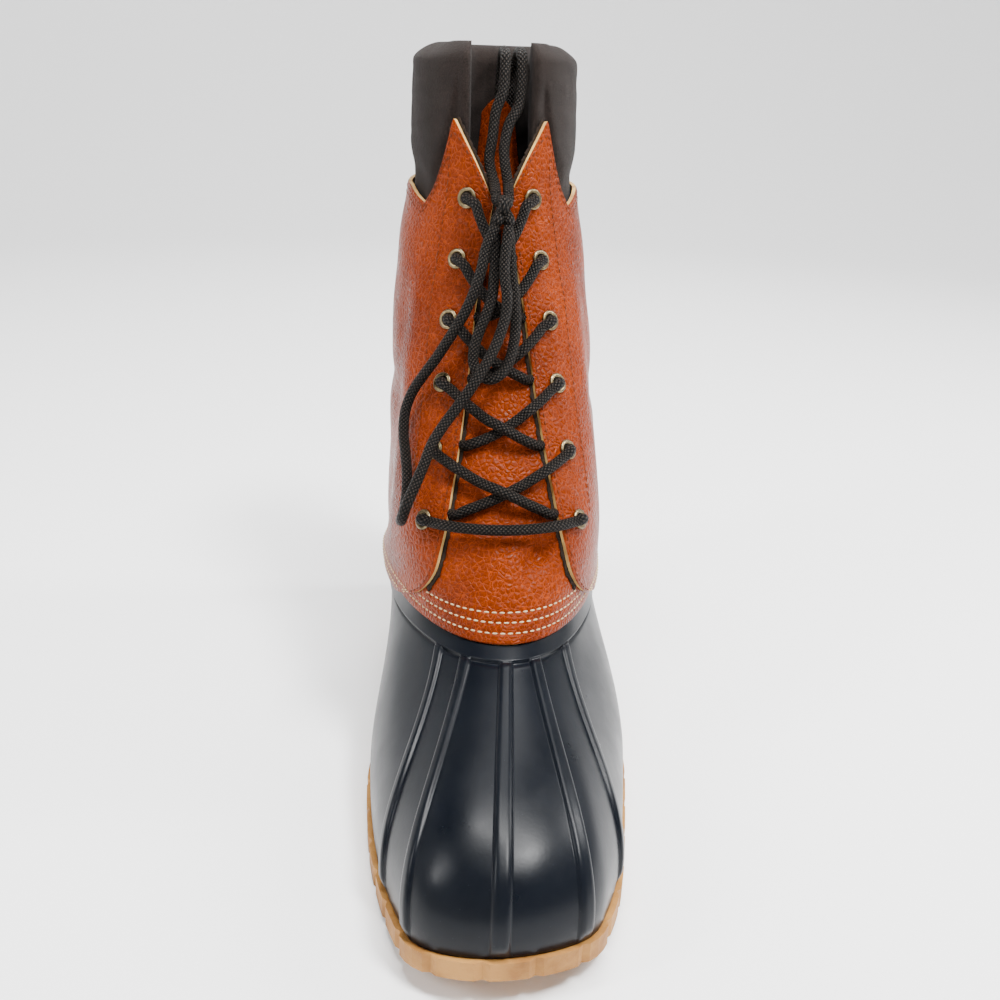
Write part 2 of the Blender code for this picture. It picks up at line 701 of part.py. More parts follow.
def add_insole(finish):
    edges = []
    for inset, lift in ((0.0012, 0.0), (0.0022, INSOLE)):
        x, y = outline(BASE, SOLE_EDGE + RUBBER_WALL + inset)[:2]
        z = sole_side(y, 2) + GAP + RUBBER_FLOOR + GAP + lift
        edges.append(points(x, y, z))
    grid = np.array(edges)
    cols = grid.shape[1]
    faces = grid_faces(2, cols, 0, True)
    faces += plate_faces(list(range(cols))) + plate_faces(list(range(cols, 2 * cols)))
    return add_object("insole", grid.reshape(-1, 3), faces, finish)


# Heights of the leather's rows, up to where the quarters' top edge dips
LEATHER_ROWS = (0.0, 0.025, 0.06, 0.10, 0.15, 0.205, 0.27, 0.345, 0.43, 0.51, 0.58, 0.64)
QUARTER_COLUMNS = (
    0.0, 0.035, 0.07, 0.105, 0.14, 0.176, 0.215, 0.25, 0.285, 0.33, 0.38, 0.435,
    0.50, 0.57, 0.64, 0.72, 0.80, 0.90,
)


def over_tongue(turn, height):
    """1 where the quarters lie on the tongue, 0 where they lie on the rubber
    or on nothing."""
    past = (np.abs(turn) - tongue_edge(height) - 0.10) / 0.30
    return (1 - ease(past)) * (1 - ease((height - 0.50) / 0.12))


def leather_lift(turn, height):
    """How far the inside of the quarters stands off the form."""
    return 1.5 * GAP + (LEATHER + 1.5 * GAP) * over_tongue(turn, height)


def add_quarters(finish):
    ways = np.array(QUARTER_COLUMNS + (1.0,) + QUARTER_COLUMNS[::-1])
    sides = np.array([-1] * len(QUARTER_COLUMNS) + [1] * (len(QUARTER_COLUMNS) + 1))
    top = level(HEIGHT * np.interp(ways, column(TOP_EDGE, 0), column(TOP_EDGE, 1)))
    outer = []
    inner = []
    last = LEATHER_ROWS[-1]
    heights = [np.full_like(ways, row) for row in LEATHER_ROWS]
    heights += [last + (top - last) * share for share in (0.33, 0.67, 1.0)]
    for height in heights:
        edge = facing_edge(height)
        turn = sides * (edge + (math.pi - edge) * ways)
        lift = leather_lift(turn, height)
        inner.append(on_shaft(turn, height, lift))
        outer.append(on_shaft(turn, height, lift + LEATHER))
    made = wall("quarters", np.array(outer), np.array(inner), False, finish)
    verts = []
    faces = []
    for side in (-1, 1):
        for row in range(EYELETS_PER_SIDE):
            centre, axis, across, up = eyelet_place(side, row)
            start = len(verts)
            radius = EYELET_BARREL + GAP
            for depth in (-0.009, 0.006):
                for k in range(EYELET_SIDES):
                    angle = 2 * math.pi * k / EYELET_SIDES
                    round_it = across * math.cos(angle) + up * math.sin(angle)
                    verts.append(centre + axis * depth + round_it * radius)
            low = list(range(start, start + EYELET_SIDES))
            high = list(range(start + EYELET_SIDES, start + 2 * EYELET_SIDES))
            faces += [tuple(low), tuple(high)] + strip_faces(low, high, True)
    cut(made, add_object("eyelet_tool", verts, faces, None), "DIFFERENCE")
    return made


def leather_face(turn, height):
    """Outside of the quarters."""
    return on_shaft(turn, height, leather_lift(turn, height) + LEATHER)


def eyelet_level(row):
    """Height of a row of eyelets, as a share of the way up the shaft."""
    step = (HIGHEST_EYELET - LOWEST_EYELET) / (EYELETS_PER_SIDE - 1)
    return float(level(LOWEST_EYELET + step * row))


def eyelet_turn(height, back=0.0):
    """Angle of the spot that lies EYELET_SET (less back) behind the facing's
    edge, measured round the outside of the leather."""
    edge = float(facing_edge(np.array(height)))
    turns = np.linspace(edge, edge + 1.2, 200)
    heights = np.full_like(turns, height)
    ring = leather_face(turns, heights)
    run = np.concatenate([[0], np.cumsum(np.linalg.norm(np.diff(ring, axis=0), axis=1))])
    return float(np.interp(EYELET_SET - back, run, turns))


def eyelet_place(side, row):
    """Centre on the leather's outer face, axis out, and two cross directions."""
    height = eyelet_level(row)
    turn = side * eyelet_turn(height)
    turn_array = np.array([turn])
    height_array = np.array([height])
    centre = leather_face(turn_array, height_array)[0]
    axis = outward(leather_face, turn_array, height_array)[0]
    across = unit(np.cross((0.0, 0.0, 1.0), axis))
    return centre, axis, across, np.cross(axis, across)


def add_eyelets(finish):
    """Flange, dome and barrel turned about the hole's axis."""
    profile = (
        (EYELET_HOLE, -0.0018), (EYELET_BARREL, -0.0018), (EYELET_BARREL, 1.5 * GAP),
        (EYELET_OUTER, 1.5 * GAP), (EYELET_OUTER - 0.0005, EYELET_RISE), (EYELET_HOLE, EYELET_RISE),
    )
    for side, word in ((-1, "inner"), (1, "outer")):
        for row in range(EYELETS_PER_SIDE):
            centre, axis, across, up = eyelet_place(side, row)
            verts = []
            for radius, height in profile:
                for k in range(EYELET_SIDES):
                    angle = 2 * math.pi * k / EYELET_SIDES
                    round_it = across * math.cos(angle) + up * math.sin(angle)
                    verts.append(centre + axis * height + round_it * radius)
            faces = grid_faces(len(profile), EYELET_SIDES, 0, True)
            last = (len(profile) - 1) * EYELET_SIDES
            faces += strip_faces(list(range(EYELET_SIDES)), list(range(last, last + EYELET_SIDES)), True)
            add_object("eyelet_%s_%d" % (word, row + 1), verts, faces, finish)


def collar_thick(height):
    """Padding of the collar at a height."""
    z = RIM_HEIGHT + height * (HEIGHT - RIM_HEIGHT)
    heights = (COLLAR_FOOT, COLLAR_FOOT + 0.029, COLLAR_FOOT + 0.059, HEIGHT)
    thick = (COLLAR_HEM, COLLAR_THICK * 0.7, COLLAR_THICK, COLLAR_THICK)
    return np.interp(z, heights, thick)


def tongue_lift(height):
    """Inside of the tongue off the form: on the rubber low down, behind the
    collar higher up."""
    z = RIM_HEIGHT + height * (HEIGHT - RIM_HEIGHT)
    inside = -collar_thick(np.maximum(height, level(0.228))) - 0.0011 - LEATHER
    return GAP + (inside - GAP) * ease((z - 0.186) / 0.042)


def add_tongue(finish):
    across = np.linspace(-1, 1, 21)
    rows = list(LEATHER_ROWS) + list(np.linspace(0.69, level(TONGUE_TOP), 5))
    outer = []
    inner = []
    for row in rows:
        height = np.full_like(across, row)
        turn = across * tongue_edge(height)
        if row == rows[-1]:
            height = height - 0.03 * np.abs(across) ** 3
        lift = tongue_lift(height)
        inner.append(on_shaft(turn, height, lift))
        outer.append(on_shaft(turn, height, lift + LEATHER))
    return wall("tongue", np.array(outer), np.array(inner), False, finish)


def add_collar(finish):
    """A padded roll round the opening, with a round top and a gap in front."""
    radius = COLLAR_THICK / 2
    middle = HEIGHT - radius
    heights = list(np.linspace(COLLAR_FOOT, COLLAR_FOOT + 0.059, 6)) + [middle]
    heights += [middle + radius * math.sin(math.radians(a)) for a in (30, 55, 75, 86)]
    outer = []
    inner = []
    for z in heights:
        height = level(z)
        start = float(turn_at(2 * COLLAR_SPLIT / SHAFT_WIDTH, np.array([height]))[0])
        steps = np.concatenate([[0, 0.035], np.linspace(0.09, 1, 12)])
        half = start + (math.pi - start) * steps
        turn = np.concatenate([-half[:-1], half[::-1]])
        tall = np.full_like(turn, height)
        thick = collar_thick(tall)
        pinch = radius * (1 - math.sqrt(max(1 - (max(z - middle, 0) / radius) ** 2, 0)))
        ends = np.concatenate([steps[:-1], steps[::-1]])
        tuck = np.where(ends < 0.001, 0.27, np.where(ends < 0.04, 0.07, 0.0)) * (thick - 2 * pinch)
        into = -outward(shaft_form, turn, tall)
        straight = (1 - ease((ends - 0.04) / 0.24))[:, None]
        into = unit(into * (1 - straight) + np.array((0.0, 1.0, 0.0)) * straight)
        face = on_shaft(turn, tall, -0.0004)
        outer.append(face + into * (pinch + tuck)[:, None])
        inner.append(face + into * (thick - pinch - tuck)[:, None])
    return wall("collar", np.array(outer), np.array(inner), False, finish)


def strand(side, row, raised):
    """From behind the facing on one side, over the tongue and the other
    facing, up to the next eyelet's flange. A strand that lies on top is
    raised where the two cross."""
    over = LEATHER * 2 + GAP * 3 + LACE / 2 + LACE_CLEAR
    on_tongue = GAP + LEATHER + LACE / 2 + LACE_CLEAR
    low = eyelet_level(row)
    high = eyelet_level(row + 1)
    speed = SHAFT_WIDTH / 2
    first = low + (high - low) * (0.18 - 0.03 * row)
    opening = float(lookup(FACINGS, 1, first)) * SHAFT_WIDTH / 2
    begin = float(turn_at(np.array([(opening - LACE * 0.62) * 2 / SHAFT_WIDTH]), np.array([first]))[0])
    stop = eyelet_turn(high, EYELET_OUTER + 0.0012)
    last = high - (high - low) * 0.10
    part = np.linspace(0, 1, 11)
    turn = -begin + (stop + begin) * part
    height = first + (last - first) * part ** (1 + 0.28 * row)
    edge = facing_edge(height)
    near = (np.abs(turn) - edge) * speed * 0.8
    climb = ease((near + 0.0075) / 0.0045) * ease(turn * speed / 0.002 + 0.5)
    lift = on_tongue + (over - on_tongue) * climb
    if raised:
        hump = LACE * 0.80 * np.exp(-((turn * speed * 0.8) / 0.0055) ** 2)
        lift = np.maximum(lift, on_tongue + hump)
    return on_shaft(side * turn, height, lift)


def add_laces(finish):
    height = eyelet_level(0)
    stop = eyelet_turn(height, EYELET_OUTER + 0.0012)
    turn = np.linspace(-stop, stop, 9)
    over = LEATHER * 2 + GAP * 3 + LACE / 2 + LACE_CLEAR
    bar = on_shaft(turn, np.full_like(turn, height), over)
    add_object("lace_bar", *tube_mesh(bar, LACE / 2, LACE_SIDES), finish)
    for row in range(EYELETS_PER_SIDE - 1):
        below = tube_mesh(strand(1, row, False), LACE / 2, LACE_SIDES)
        above = tube_mesh(strand(-1, row, True), LACE / 2, LACE_SIDES)
        cross = add_object("lace_cross_%d" % (row + 1), *below, finish)
        other = add_object("cross_tool_%d" % (row + 1), *above, None)
        cut(cross, other, "UNION")
    for name, route in (
        ("lace_loop_left", LOOP_LEFT), ("lace_loop_right", LOOP_RIGHT),
        ("lace_end_left", END_LEFT), ("lace_end_right", END_RIGHT),
    ):
        path = even_path(route, LACE * 1.6)
        add_object(name, *tube_mesh(path, LACE / 2, LACE_SIDES), finish)


def add_knot(finish):
    """A lump where the lace is tied, behind the facings."""
    centre = np.array(KNOT_PLACE)
    verts = []
    for lift in np.linspace(-1, 1, 7)[1:-1]:
        wide = math.sqrt(1 - lift * lift)
        for k in range(12):
            angle = 2 * math.pi * k / 12
            x = KNOT_SIZE[0] * wide * math.cos(angle) * (1 + 0.08 * math.cos(3 * angle))
            y = KNOT_SIZE[1] * wide * math.sin(angle)
            verts.append(centre + np.array((x, y, KNOT_SIZE[2] * lift)))
    faces = grid_faces(5, 12, 0, True)
    faces.append(tuple(range(12)))
    faces.append(tuple(range(48, 60)))
    add_object("lace_knot", verts, faces, finish)


def build():
    for old in list(bpy.data.objects):
        bpy.data.objects.remove(old)
    gum = material("gum_rubber", (0.62, 0.43, 0.22), 0.6)
    rubber = material("navy_rubber", (0.012, 0.018, 0.030), 0.35)
    leather = material("brown_leather", (0.40, 0.115, 0.022), 0.4)
    cloth = material("collar_cloth", (0.070, 0.048, 0.042), 0.9)
    sheet = material("insole_sheet", (0.20, 0.17, 0.14), 0.9)
    brass = material("eyelet_brass", (0.30, 0.25, 0.16), 0.35, 1.0)
    cord = material("lace_cord", (0.012, 0.011, 0.011), 0.8)
    add_outsole(gum)
    add_rubber_shell(rubber)
    add_insole(sheet)
    add_tongue(leather)
    add_quarters(leather)
    add_collar(cloth)
    add_eyelets(brass)
    add_laces(cord)
    add_knot(cord)


build()
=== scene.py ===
"""The look of a lace-up boot with a moulded rubber bottom and a leather
shaft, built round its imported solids.

Metres, +Z up, toe at -Y, inner side of the foot at -X. The named sizes and
tables are the solids' own, so every surface lies where its solid lies.
"""
import math

import bmesh
import bpy
import numpy as np
from mathutils import Matrix, Vector


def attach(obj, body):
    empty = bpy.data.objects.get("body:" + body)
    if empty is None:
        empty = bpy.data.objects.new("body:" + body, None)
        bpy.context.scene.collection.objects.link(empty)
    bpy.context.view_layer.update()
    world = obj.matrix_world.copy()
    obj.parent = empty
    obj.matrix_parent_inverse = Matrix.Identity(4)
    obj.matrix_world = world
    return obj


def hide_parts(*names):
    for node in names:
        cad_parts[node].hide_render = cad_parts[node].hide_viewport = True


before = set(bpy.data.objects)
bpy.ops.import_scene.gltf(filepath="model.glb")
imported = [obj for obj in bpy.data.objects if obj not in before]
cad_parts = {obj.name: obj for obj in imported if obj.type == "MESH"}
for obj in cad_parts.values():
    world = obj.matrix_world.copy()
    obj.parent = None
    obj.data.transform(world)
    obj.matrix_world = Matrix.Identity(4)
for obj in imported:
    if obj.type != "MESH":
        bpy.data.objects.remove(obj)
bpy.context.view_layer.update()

AIM = (630, 503)          # the boot's middle in the photograph, in pixels
AXIS_SPOT = (499, 533)    # where the photograph's own optical axis falls
AXIS_FOCAL = 1205         # its focal length, in pixels
AXIS_TURN = (1.3, -23.9, -0.7)      # its yaw, pitch and roll, in degrees
FOCAL = 1.04              # focal length of the render, in picture widths
CAMERA_AT = (-0.0376, -0.398, 0.281)

# Driving sizes, in metres
LENGTH = 0.300            # outsole, from toe to heel
BALL_WIDTH = 0.110        # outsole, across the ball of the foot
HEEL_WIDTH = 0.081        # outsole, across the heel
SHAFT_WIDTH = 0.090       # across the shaft just above the rubber
HEIGHT = 0.292            # floor to the top of the collar
RIM_HEIGHT = 0.075        # floor to the leather's lower edge, at the front
HEEL_HEIGHT = 0.024       # floor to the rubber bottom's underside at the heel
TOE_SHIFT = 0.009         # how far the toe leans to the inner side

RUBBER_WALL = 0.0026
RUBBER_FLOOR = 0.003
LEATHER = 0.0020
GAP = 0.0003              # between pieces that lie on each other
SOLE_EDGE = 0.0022        # how far the outsole stands out past the rubber
SHAFT_RISE = HEIGHT - RIM_HEIGHT

RIB_WIDTH = 0.0066        # raised ribs on the toe, at their foot
RIB_CROWN = 0.0040        # the same ribs, across their top
RIB_RAISE = 0.0015
BAND_WIDTH = 0.009        # raised band under the leather's lower edge
BAND_RAISE = 0.0009
RIM_LAP = 0.012           # how far the rubber goes up inside the leather
RIM_DIP = 0.004           # the rim is lower at the sides than at its ends

EYELET_SET = 0.0115       # eyelet centre to the facing's front edge
EYELET_OUTER = 0.00425    # radius of the flange
EYELET_HOLE = 0.0024      # radius of the hole
EYELET_BARREL = 0.00285   # radius of the barrel's outside
EYELET_RISE = 0.0012      # flange height above the leather
EYELET_SIDES = 40
EYELETS_PER_SIDE = 6
LOWEST_EYELET = 0.110     # floor to the lowest eyelet
HIGHEST_EYELET = 0.232    # floor to the highest one

TONGUE_TOP = 0.272        # floor to the top of the tongue
COLLAR_FOOT = 0.206       # floor to the collar's hidden lower edge
COLLAR_THICK = 0.017      # the padding near the collar's top
COLLAR_HEM = 0.003        # the padding at its hidden lower edge
COLLAR_SPLIT = 0.0125     # half the opening between the collar's front ends
LACE = 0.0044             # lace diameter
LACE_CLEAR = 0.0005       # air between a lace and what it crosses
LACE_ON_TONGUE = GAP + LEATHER + LACE / 2 + LACE_CLEAR      # form to lace middle
LACE_ON_SHAFT = 2 * LEATHER + 3 * GAP + LACE / 2 + LACE_CLEAR
LACE_STOP = EYELET_OUTER + 0.0012   # from the hole to where the lace turns in
LACE_STEP = 0.0007        # between the rings of a laced strand
LACE_SIDES = 20

# Outsole outline: share of the length from the toe, then the inner and the
# outer half width as shares of those of an ellipse
OUTLINE = (
    # length, inner, outer
    (0.00, 1.66, 1.66),
    (0.03, 1.50, 1.58),
    (0.08, 1.25, 1.27),
    (0.15, 1.146, 1.11),
    (0.22, 1.109, 1.028),
    (0.30, 1.069, 1.000),
    (0.38, 1.026, 1.015),
    (0.46, 0.960, 1.040),
    (0.55, 0.880, 1.040),
    (0.65, 0.885, 1.060),
    (0.75, 1.060, 1.170),
    (0.85, 1.335, 1.375),
    (0.92, 1.510, 1.535),
    (0.97, 1.590, 1.600),
    (1.00, 1.620, 1.620),
)

# Outsole's upper face seen from the side: share of the length from the toe,
# and height as a share of HEEL_HEIGHT
SOLE_TOP = (
    # length, height
    (0.00, 0.78),
    (0.05, 0.62),
    (0.11, 0.46),
    (0.18, 0.35),
    (0.30, 0.33),
    (0.42, 0.36),
    (0.49, 0.43),
    (0.57, 0.58),
    (0.65, 0.78),
    (0.72, 0.93),
    (0.80, 1.00),
    (1.00, 1.00),
)

# Level rings of the shaft: height as a share of the way from RIM_HEIGHT to
# HEIGHT, front and back as shares of LENGTH from the toe, inner and outer
# half width as shares of half SHAFT_WIDTH, squareness of front and back
# (2 is an ellipse)
LEVELS = (
    # height, front, back, inner, outer, front squareness, back squareness
    (0.000, 0.340, 0.978, 1.010, 1.020, 1.40, 2.60),
    (0.060, 0.371, 0.977, 0.990, 1.005, 2.10, 2.60),
    (0.134, 0.412, 0.973, 0.970, 0.995, 2.90, 2.60),
    (0.217, 0.459, 0.968, 0.955, 0.990, 2.90, 2.50),
    (0.323, 0.516, 0.965, 0.944, 0.985, 2.25, 2.40),
    (0.438, 0.570, 0.965, 0.922, 0.965, 1.85, 2.30),
    (0.558, 0.609, 0.970, 0.885, 0.911, 1.70, 2.20),
    (0.645, 0.628, 0.973, 0.838, 0.860, 1.60, 2.20),
    (0.705, 0.638, 0.975, 0.796, 0.818, 1.60, 2.20),
    (0.760, 0.644, 0.976, 0.770, 0.792, 1.60, 2.20),
    (0.862, 0.651, 0.977, 0.756, 0.778, 1.60, 2.20),
    (1.000, 0.655, 0.978, 0.735, 0.757, 1.60, 2.20),
)

# Facings: height as above, half opening between the two front edges as a
# share of half SHAFT_WIDTH, and how far the tongue reaches past them (radians)
FACINGS = (
    # height, half opening, tongue lap
    (0.000, 0.890, 0.50),
    (0.040, 0.690, 0.50),
    (0.080, 0.570, 0.50),
    (0.134, 0.500, 0.50),
    (0.217, 0.422, 0.50),
    (0.323, 0.329, 0.50),
    (0.438, 0.251, 0.50),
    (0.558, 0.182, 0.52),
    (0.645, 0.122, 0.56),
    (0.719, 0.060, 0.60),
    (1.000, 0.060, 0.66),
)

# Top edge of the quarters: share of the way from the front edge to the back,
# and height as a share of HEIGHT. The highest row is the ear's tip.
TOP_EDGE = (
    # way back, height
    (0.000, 0.791),
    (0.090, 0.848),
    (0.176, 0.901),
    (0.215, 0.850),
    (0.250, 0.806),
    (0.285, 0.780),
    (0.330, 0.786),
    (0.420, 0.800),
    (0.700, 0.806),
    (1.000, 0.812),
)

# Ribs on the toe: side (+1 outer, -1 inner, 0 middle) and where each one
# meets the sole, as a share of the length from the toe
RIBS = (
    # side, place
    (0, 0.000),
    (1, 0.028),
    (1, 0.147),
    (-1, 0.053),
    (-1, 0.150),
)

# The two hanging loops and the two ends of the lace, as listed points:
# X, Y and Z in metres
LOOP_LEFT = (
    (-0.0024, 0.0231, 0.2252), (-0.0064, 0.0216, 0.2166), (-0.0084, 0.0186, 0.2082),
    (-0.0104, 0.0174, 0.2017), (-0.0130, 0.0167, 0.1950), (-0.0166, 0.0162, 0.1879),
    (-0.0214, 0.0164, 0.1798), (-0.0262, 0.0172, 0.1719), (-0.0314, 0.0185, 0.1643),
    (-0.0360, 0.0201, 0.1565), (-0.0389, 0.0203, 0.1482), (-0.0397, 0.0166, 0.1400),
    (-0.0389, 0.0101, 0.1327), (-0.0383, 0.0038, 0.1255), (-0.0386, -0.0011, 0.1187),
    (-0.0393, -0.0045, 0.1147), (-0.0404, -0.0099, 0.1128), (-0.0407, -0.0161, 0.1140),
    (-0.0400, -0.0208, 0.1179), (-0.0383, -0.0218, 0.1235), (-0.0352, -0.0185, 0.1298),
    (-0.0317, -0.0132, 0.1365), (-0.0283, -0.0077, 0.1435), (-0.0241, -0.0044, 0.1495),
    (-0.0193, -0.0022, 0.1556), (-0.0136, -0.0005, 0.1632), (-0.0082, 0.0018, 0.1713),
    (-0.0041, 0.0048, 0.1781), (-0.0010, 0.0082, 0.1848), (0.0011, 0.0112, 0.1913),
    (0.0016, 0.0140, 0.1982), (0.0007, 0.0170, 0.2057), (0.0023, 0.0232, 0.2252),
)
LOOP_RIGHT = (
    (0.0026, 0.0279, 0.2238), (0.0042, 0.0213, 0.2039), (0.0053, 0.0187, 0.1958),
    (0.0057, 0.0152, 0.1869), (0.0046, 0.0112, 0.1788), (0.0024, 0.0073, 0.1725),
    (-0.0011, 0.0046, 0.1683), (-0.0052, 0.0042, 0.1667), (-0.0092, 0.0058, 0.1681),
    (-0.0115, 0.0090, 0.1722), (-0.0111, 0.0120, 0.1777), (-0.0091, 0.0143, 0.1838),
    (-0.0064, 0.0163, 0.1899), (-0.0040, 0.0188, 0.1966), (-0.0033, 0.0209, 0.2030),
    (-0.0026, 0.0283, 0.2238),
)
END_LEFT = (
    (-0.0023, 0.0334, 0.2340), (-0.0024, 0.0410, 0.2378), (-0.0043, 0.0492, 0.2473),
    (-0.0030, 0.0507, 0.2563), (-0.0019, 0.0512, 0.2660), (0.0009, 0.0514, 0.2738),
    (0.0013, 0.0519, 0.2801), (0.0016, 0.0546, 0.2861), (0.0015, 0.0610, 0.2885),
    (0.0015, 0.0678, 0.2857), (0.0012, 0.0691, 0.2795), (0.0009, 0.0693, 0.2700),
    (-0.0002, 0.0687, 0.2566), (-0.0008, 0.0667, 0.2440), (-0.0012, 0.0621, 0.2313),
)
END_RIGHT = (
    (0.0027, 0.0334, 0.2340), (0.0031, 0.0411, 0.2378), (0.0018, 0.0492, 0.2528),
    (0.0041, 0.0514, 0.2621), (0.0069, 0.0528, 0.2667), (0.0081, 0.0537, 0.2738),
    (0.0084, 0.0543, 0.2801), (0.0086, 0.0576, 0.2861), (0.0084, 0.0657, 0.2885),
    (0.0080, 0.0752, 0.2857), (0.0061, 0.0767, 0.2794), (0.0061, 0.0766, 0.2701),
    (0.0063, 0.0751, 0.2569), (0.0059, 0.0716, 0.2444), (0.0056, 0.0651, 0.2314),
)

# The knot's middle, in metres
KNOT_PLACE = (0.0000, 0.0270, 0.2312)


def smooth(place, rows, values):
    """Cubic curve through the rows of a table, read at each place."""
    rows = np.asarray(rows, float)
    values = np.asarray(values, float)
    slopes = np.gradient(values, rows)
    place = np.asarray(place, float)
    low = np.clip(np.searchsorted(rows, place, side="right") - 1, 0, len(rows) - 2)
    span = rows[low + 1] - rows[low]
    part = (place - rows[low]) / span
    start = (1 + 2 * part) * (1 - part) ** 2 * values[low]
    start_slope = part * (1 - part) ** 2 * span * slopes[low]
    end = part ** 2 * (3 - 2 * part) * values[low + 1]
    end_slope = part ** 2 * (part - 1) * span * slopes[low + 1]
    return start + start_slope + end + end_slope


def column(table, index):
    return [row[index] for row in table]


def lookup(table, index, place):
    """One column of a table, read at each place."""
    return smooth(place, column(table, 0), column(table, index))


def ease(part):
    """0 below 0, 1 above 1, and a smooth step between."""
    part = np.clip(part, 0, 1)
    return part * part * (3 - 2 * part)


def wrap(angle):
    """The same angle between -pi and pi."""
    return (np.asarray(angle, float) + math.pi) % (2 * math.pi) - math.pi


def points(x, y, z):
    return np.stack(np.broadcast_arrays(x, y, z), axis=-1)


def unit(vectors):
    return vectors / np.maximum(np.linalg.norm(vectors, axis=-1, keepdims=True), 1e-12)


def run_along(line):
    """Length from a line's start to each of its points."""
    return np.concatenate([[0], np.cumsum(np.linalg.norm(np.diff(line, axis=0), axis=1))])


def leaning_outline(angle):
    """Outsole's edge before it is centred: an ellipse, made fuller or slimmer
    by the table, on a middle line that leans to the inner side at the toe."""
    angle = wrap(angle)
    turn = np.abs(angle)
    share = (1 - np.cos(turn)) / 2
    rows = np.arccos(1 - 2 * np.array(column(OUTLINE, 0)))
    inner = smooth(turn, rows, column(OUTLINE, 1))
    outer = smooth(turn, rows, column(OUTLINE, 2))
    to_heel = ease((share - 0.35) / 0.45)
    width = BALL_WIDTH + (HEEL_WIDTH - BALL_WIDTH) * to_heel
    lean = -TOE_SHIFT * np.clip(1 - share / 0.4, 0, 1) ** 2
    x = lean + np.sin(angle) * np.where(angle >= 0, outer, inner) * width / 2
    y = LENGTH * (share - 0.5)
    return x, y


def outline_middle():
    x = leaning_outline(np.linspace(-math.pi, math.pi, 2001))[0]
    return (x.max() + x.min()) / 2


MIDDLE = outline_middle()


def outline(angle, inset):
    """Outsole's edge in plan, moved inwards by inset."""
    step = 1e-4
    x, y = leaning_outline(angle)
    ahead_x, ahead_y = leaning_outline(angle + step)
    behind_x, behind_y = leaning_outline(angle - step)
    along_x = ahead_x - behind_x
    along_y = ahead_y - behind_y
    long = np.hypot(along_x, along_y)
    out_x = along_y / long
    out_y = -along_x / long
    return x - MIDDLE - out_x * inset, y - out_y * inset, out_x, out_y


def sole_top(y):
    """Height of the outsole's upper face."""
    return HEEL_HEIGHT * lookup(SOLE_TOP, 1, np.clip(y / LENGTH + 0.5, 0, 1))


def level(height):
    """Height above the floor, as a share of the way from the rim to the top."""
    return (height - RIM_HEIGHT) / SHAFT_RISE


def above_floor(height):
    """A share of the way from the rim to the top, as height above the floor."""
    return RIM_HEIGHT + height * SHAFT_RISE


def shaft_form(turn, height):
    """Outside of the shaft's form: level rings whose front and back lie on the
    profile, and whose half width falls off from the widest place by a power
    that gives each end its squareness."""
    turn = wrap(turn)
    share = (1 - np.cos(turn)) / 2
    front = LENGTH * (lookup(LEVELS, 1, height) - 0.5)
    back = LENGTH * (lookup(LEVELS, 2, height) - 0.5)
    inner = lookup(LEVELS, 3, height)
    outer = lookup(LEVELS, 4, height)
    half = np.where(turn >= 0, outer, inner) * SHAFT_WIDTH / 2
    far = np.abs(np.cos(turn))
    square = np.where(share < 0.5, lookup(LEVELS, 5, height), lookup(LEVELS, 6, height))
    power = 2 + (square - 2) * far
    x = np.sign(turn) * half * np.sqrt(np.maximum(1 - far ** power, 0))
    y = front + (back - front) * share
    dip = RIM_DIP * np.clip(1 - height / 0.2, 0, 1) ** 2 * 4 * share * (1 - share)
    z = above_floor(height) - dip
    return points(x - MIDDLE, y, z)


def outward(surface, angle, rise):
    """Unit normals of a surface of angle and rise, pointing out."""
    step = 1e-4
    along = surface(angle + step, rise) - surface(angle - step, rise)
    up = surface(angle, rise + step) - surface(angle, rise - step)
    return unit(np.cross(along, up))


def on_shaft(turn, height, lift):
    """A point of the shaft, moved out by lift."""
    turn, height = np.broadcast_arrays(np.asarray(turn, float), np.asarray(height, float))
    lift = np.asarray(lift, float)[..., None]
    return shaft_form(turn, height) + outward(shaft_form, turn, height) * lift


def rim_turn(angle):
    """Where round the rim a line up the rubber ends, from where it starts."""
    angle = wrap(angle)
    share = (1 - np.cos(angle)) / 2
    share = 0.6 * share + 0.4 * share ** 2
    return np.sign(angle) * np.arccos(1 - 2 * share)


def rubber_lines(angle):
    """The four control points of the curve that goes up the rubber."""
    x, y, out_x, out_y = outline(angle, SOLE_EDGE)
    foot = points(x, y, sole_top(y) + GAP)
    turn = rim_turn(angle)
    rim = shaft_form(turn, np.zeros_like(turn))
    up = unit(shaft_form(turn, np.full_like(turn, 0.02)) - rim)
    toe = (((1 + np.cos(angle)) / 2) ** 3)[..., None]
    inward = rim - foot
    inward[..., 2] = 0
    flat = unit(inward) * math.cos(math.radians(19))
    flat[..., 2] = math.sin(math.radians(19))
    arrive = unit(flat * toe + up * (1 - toe))
    chord = np.linalg.norm(rim - foot, axis=-1, keepdims=True)
    reach = chord * (0.30 + 0.22 * toe)
    rise = (rim[..., 2] - foot[..., 2]) * (0.42 + 0.20 * toe[..., 0])
    bulge = BALL_WIDTH * 0.040
    leave = foot + points(out_x * bulge, out_y * bulge, rise)
    return foot, leave, rim - arrive * reach, rim


def rubber_form(angle, rise):
    """Outside of the rubber without ribs or band: a cubic curve from the
    sole's edge (rise 0) to the leather's lower edge (rise 1)."""
    angle, rise = np.broadcast_arrays(np.asarray(angle, float), np.asarray(rise, float))
    foot, leave, near, rim = rubber_lines(angle)
    part = rise[..., None]
    left = 1 - part
    low = left ** 3 * foot + 3 * left ** 2 * part * leave
    return low + 3 * left * part ** 2 * near + part ** 3 * rim


def rubber_top_speed(angle):
    """Metres per unit of rise, where the rubber reaches the rim."""
    near, rim = rubber_lines(angle)[2:]
    return 3 * np.linalg.norm(rim - near, axis=-1)


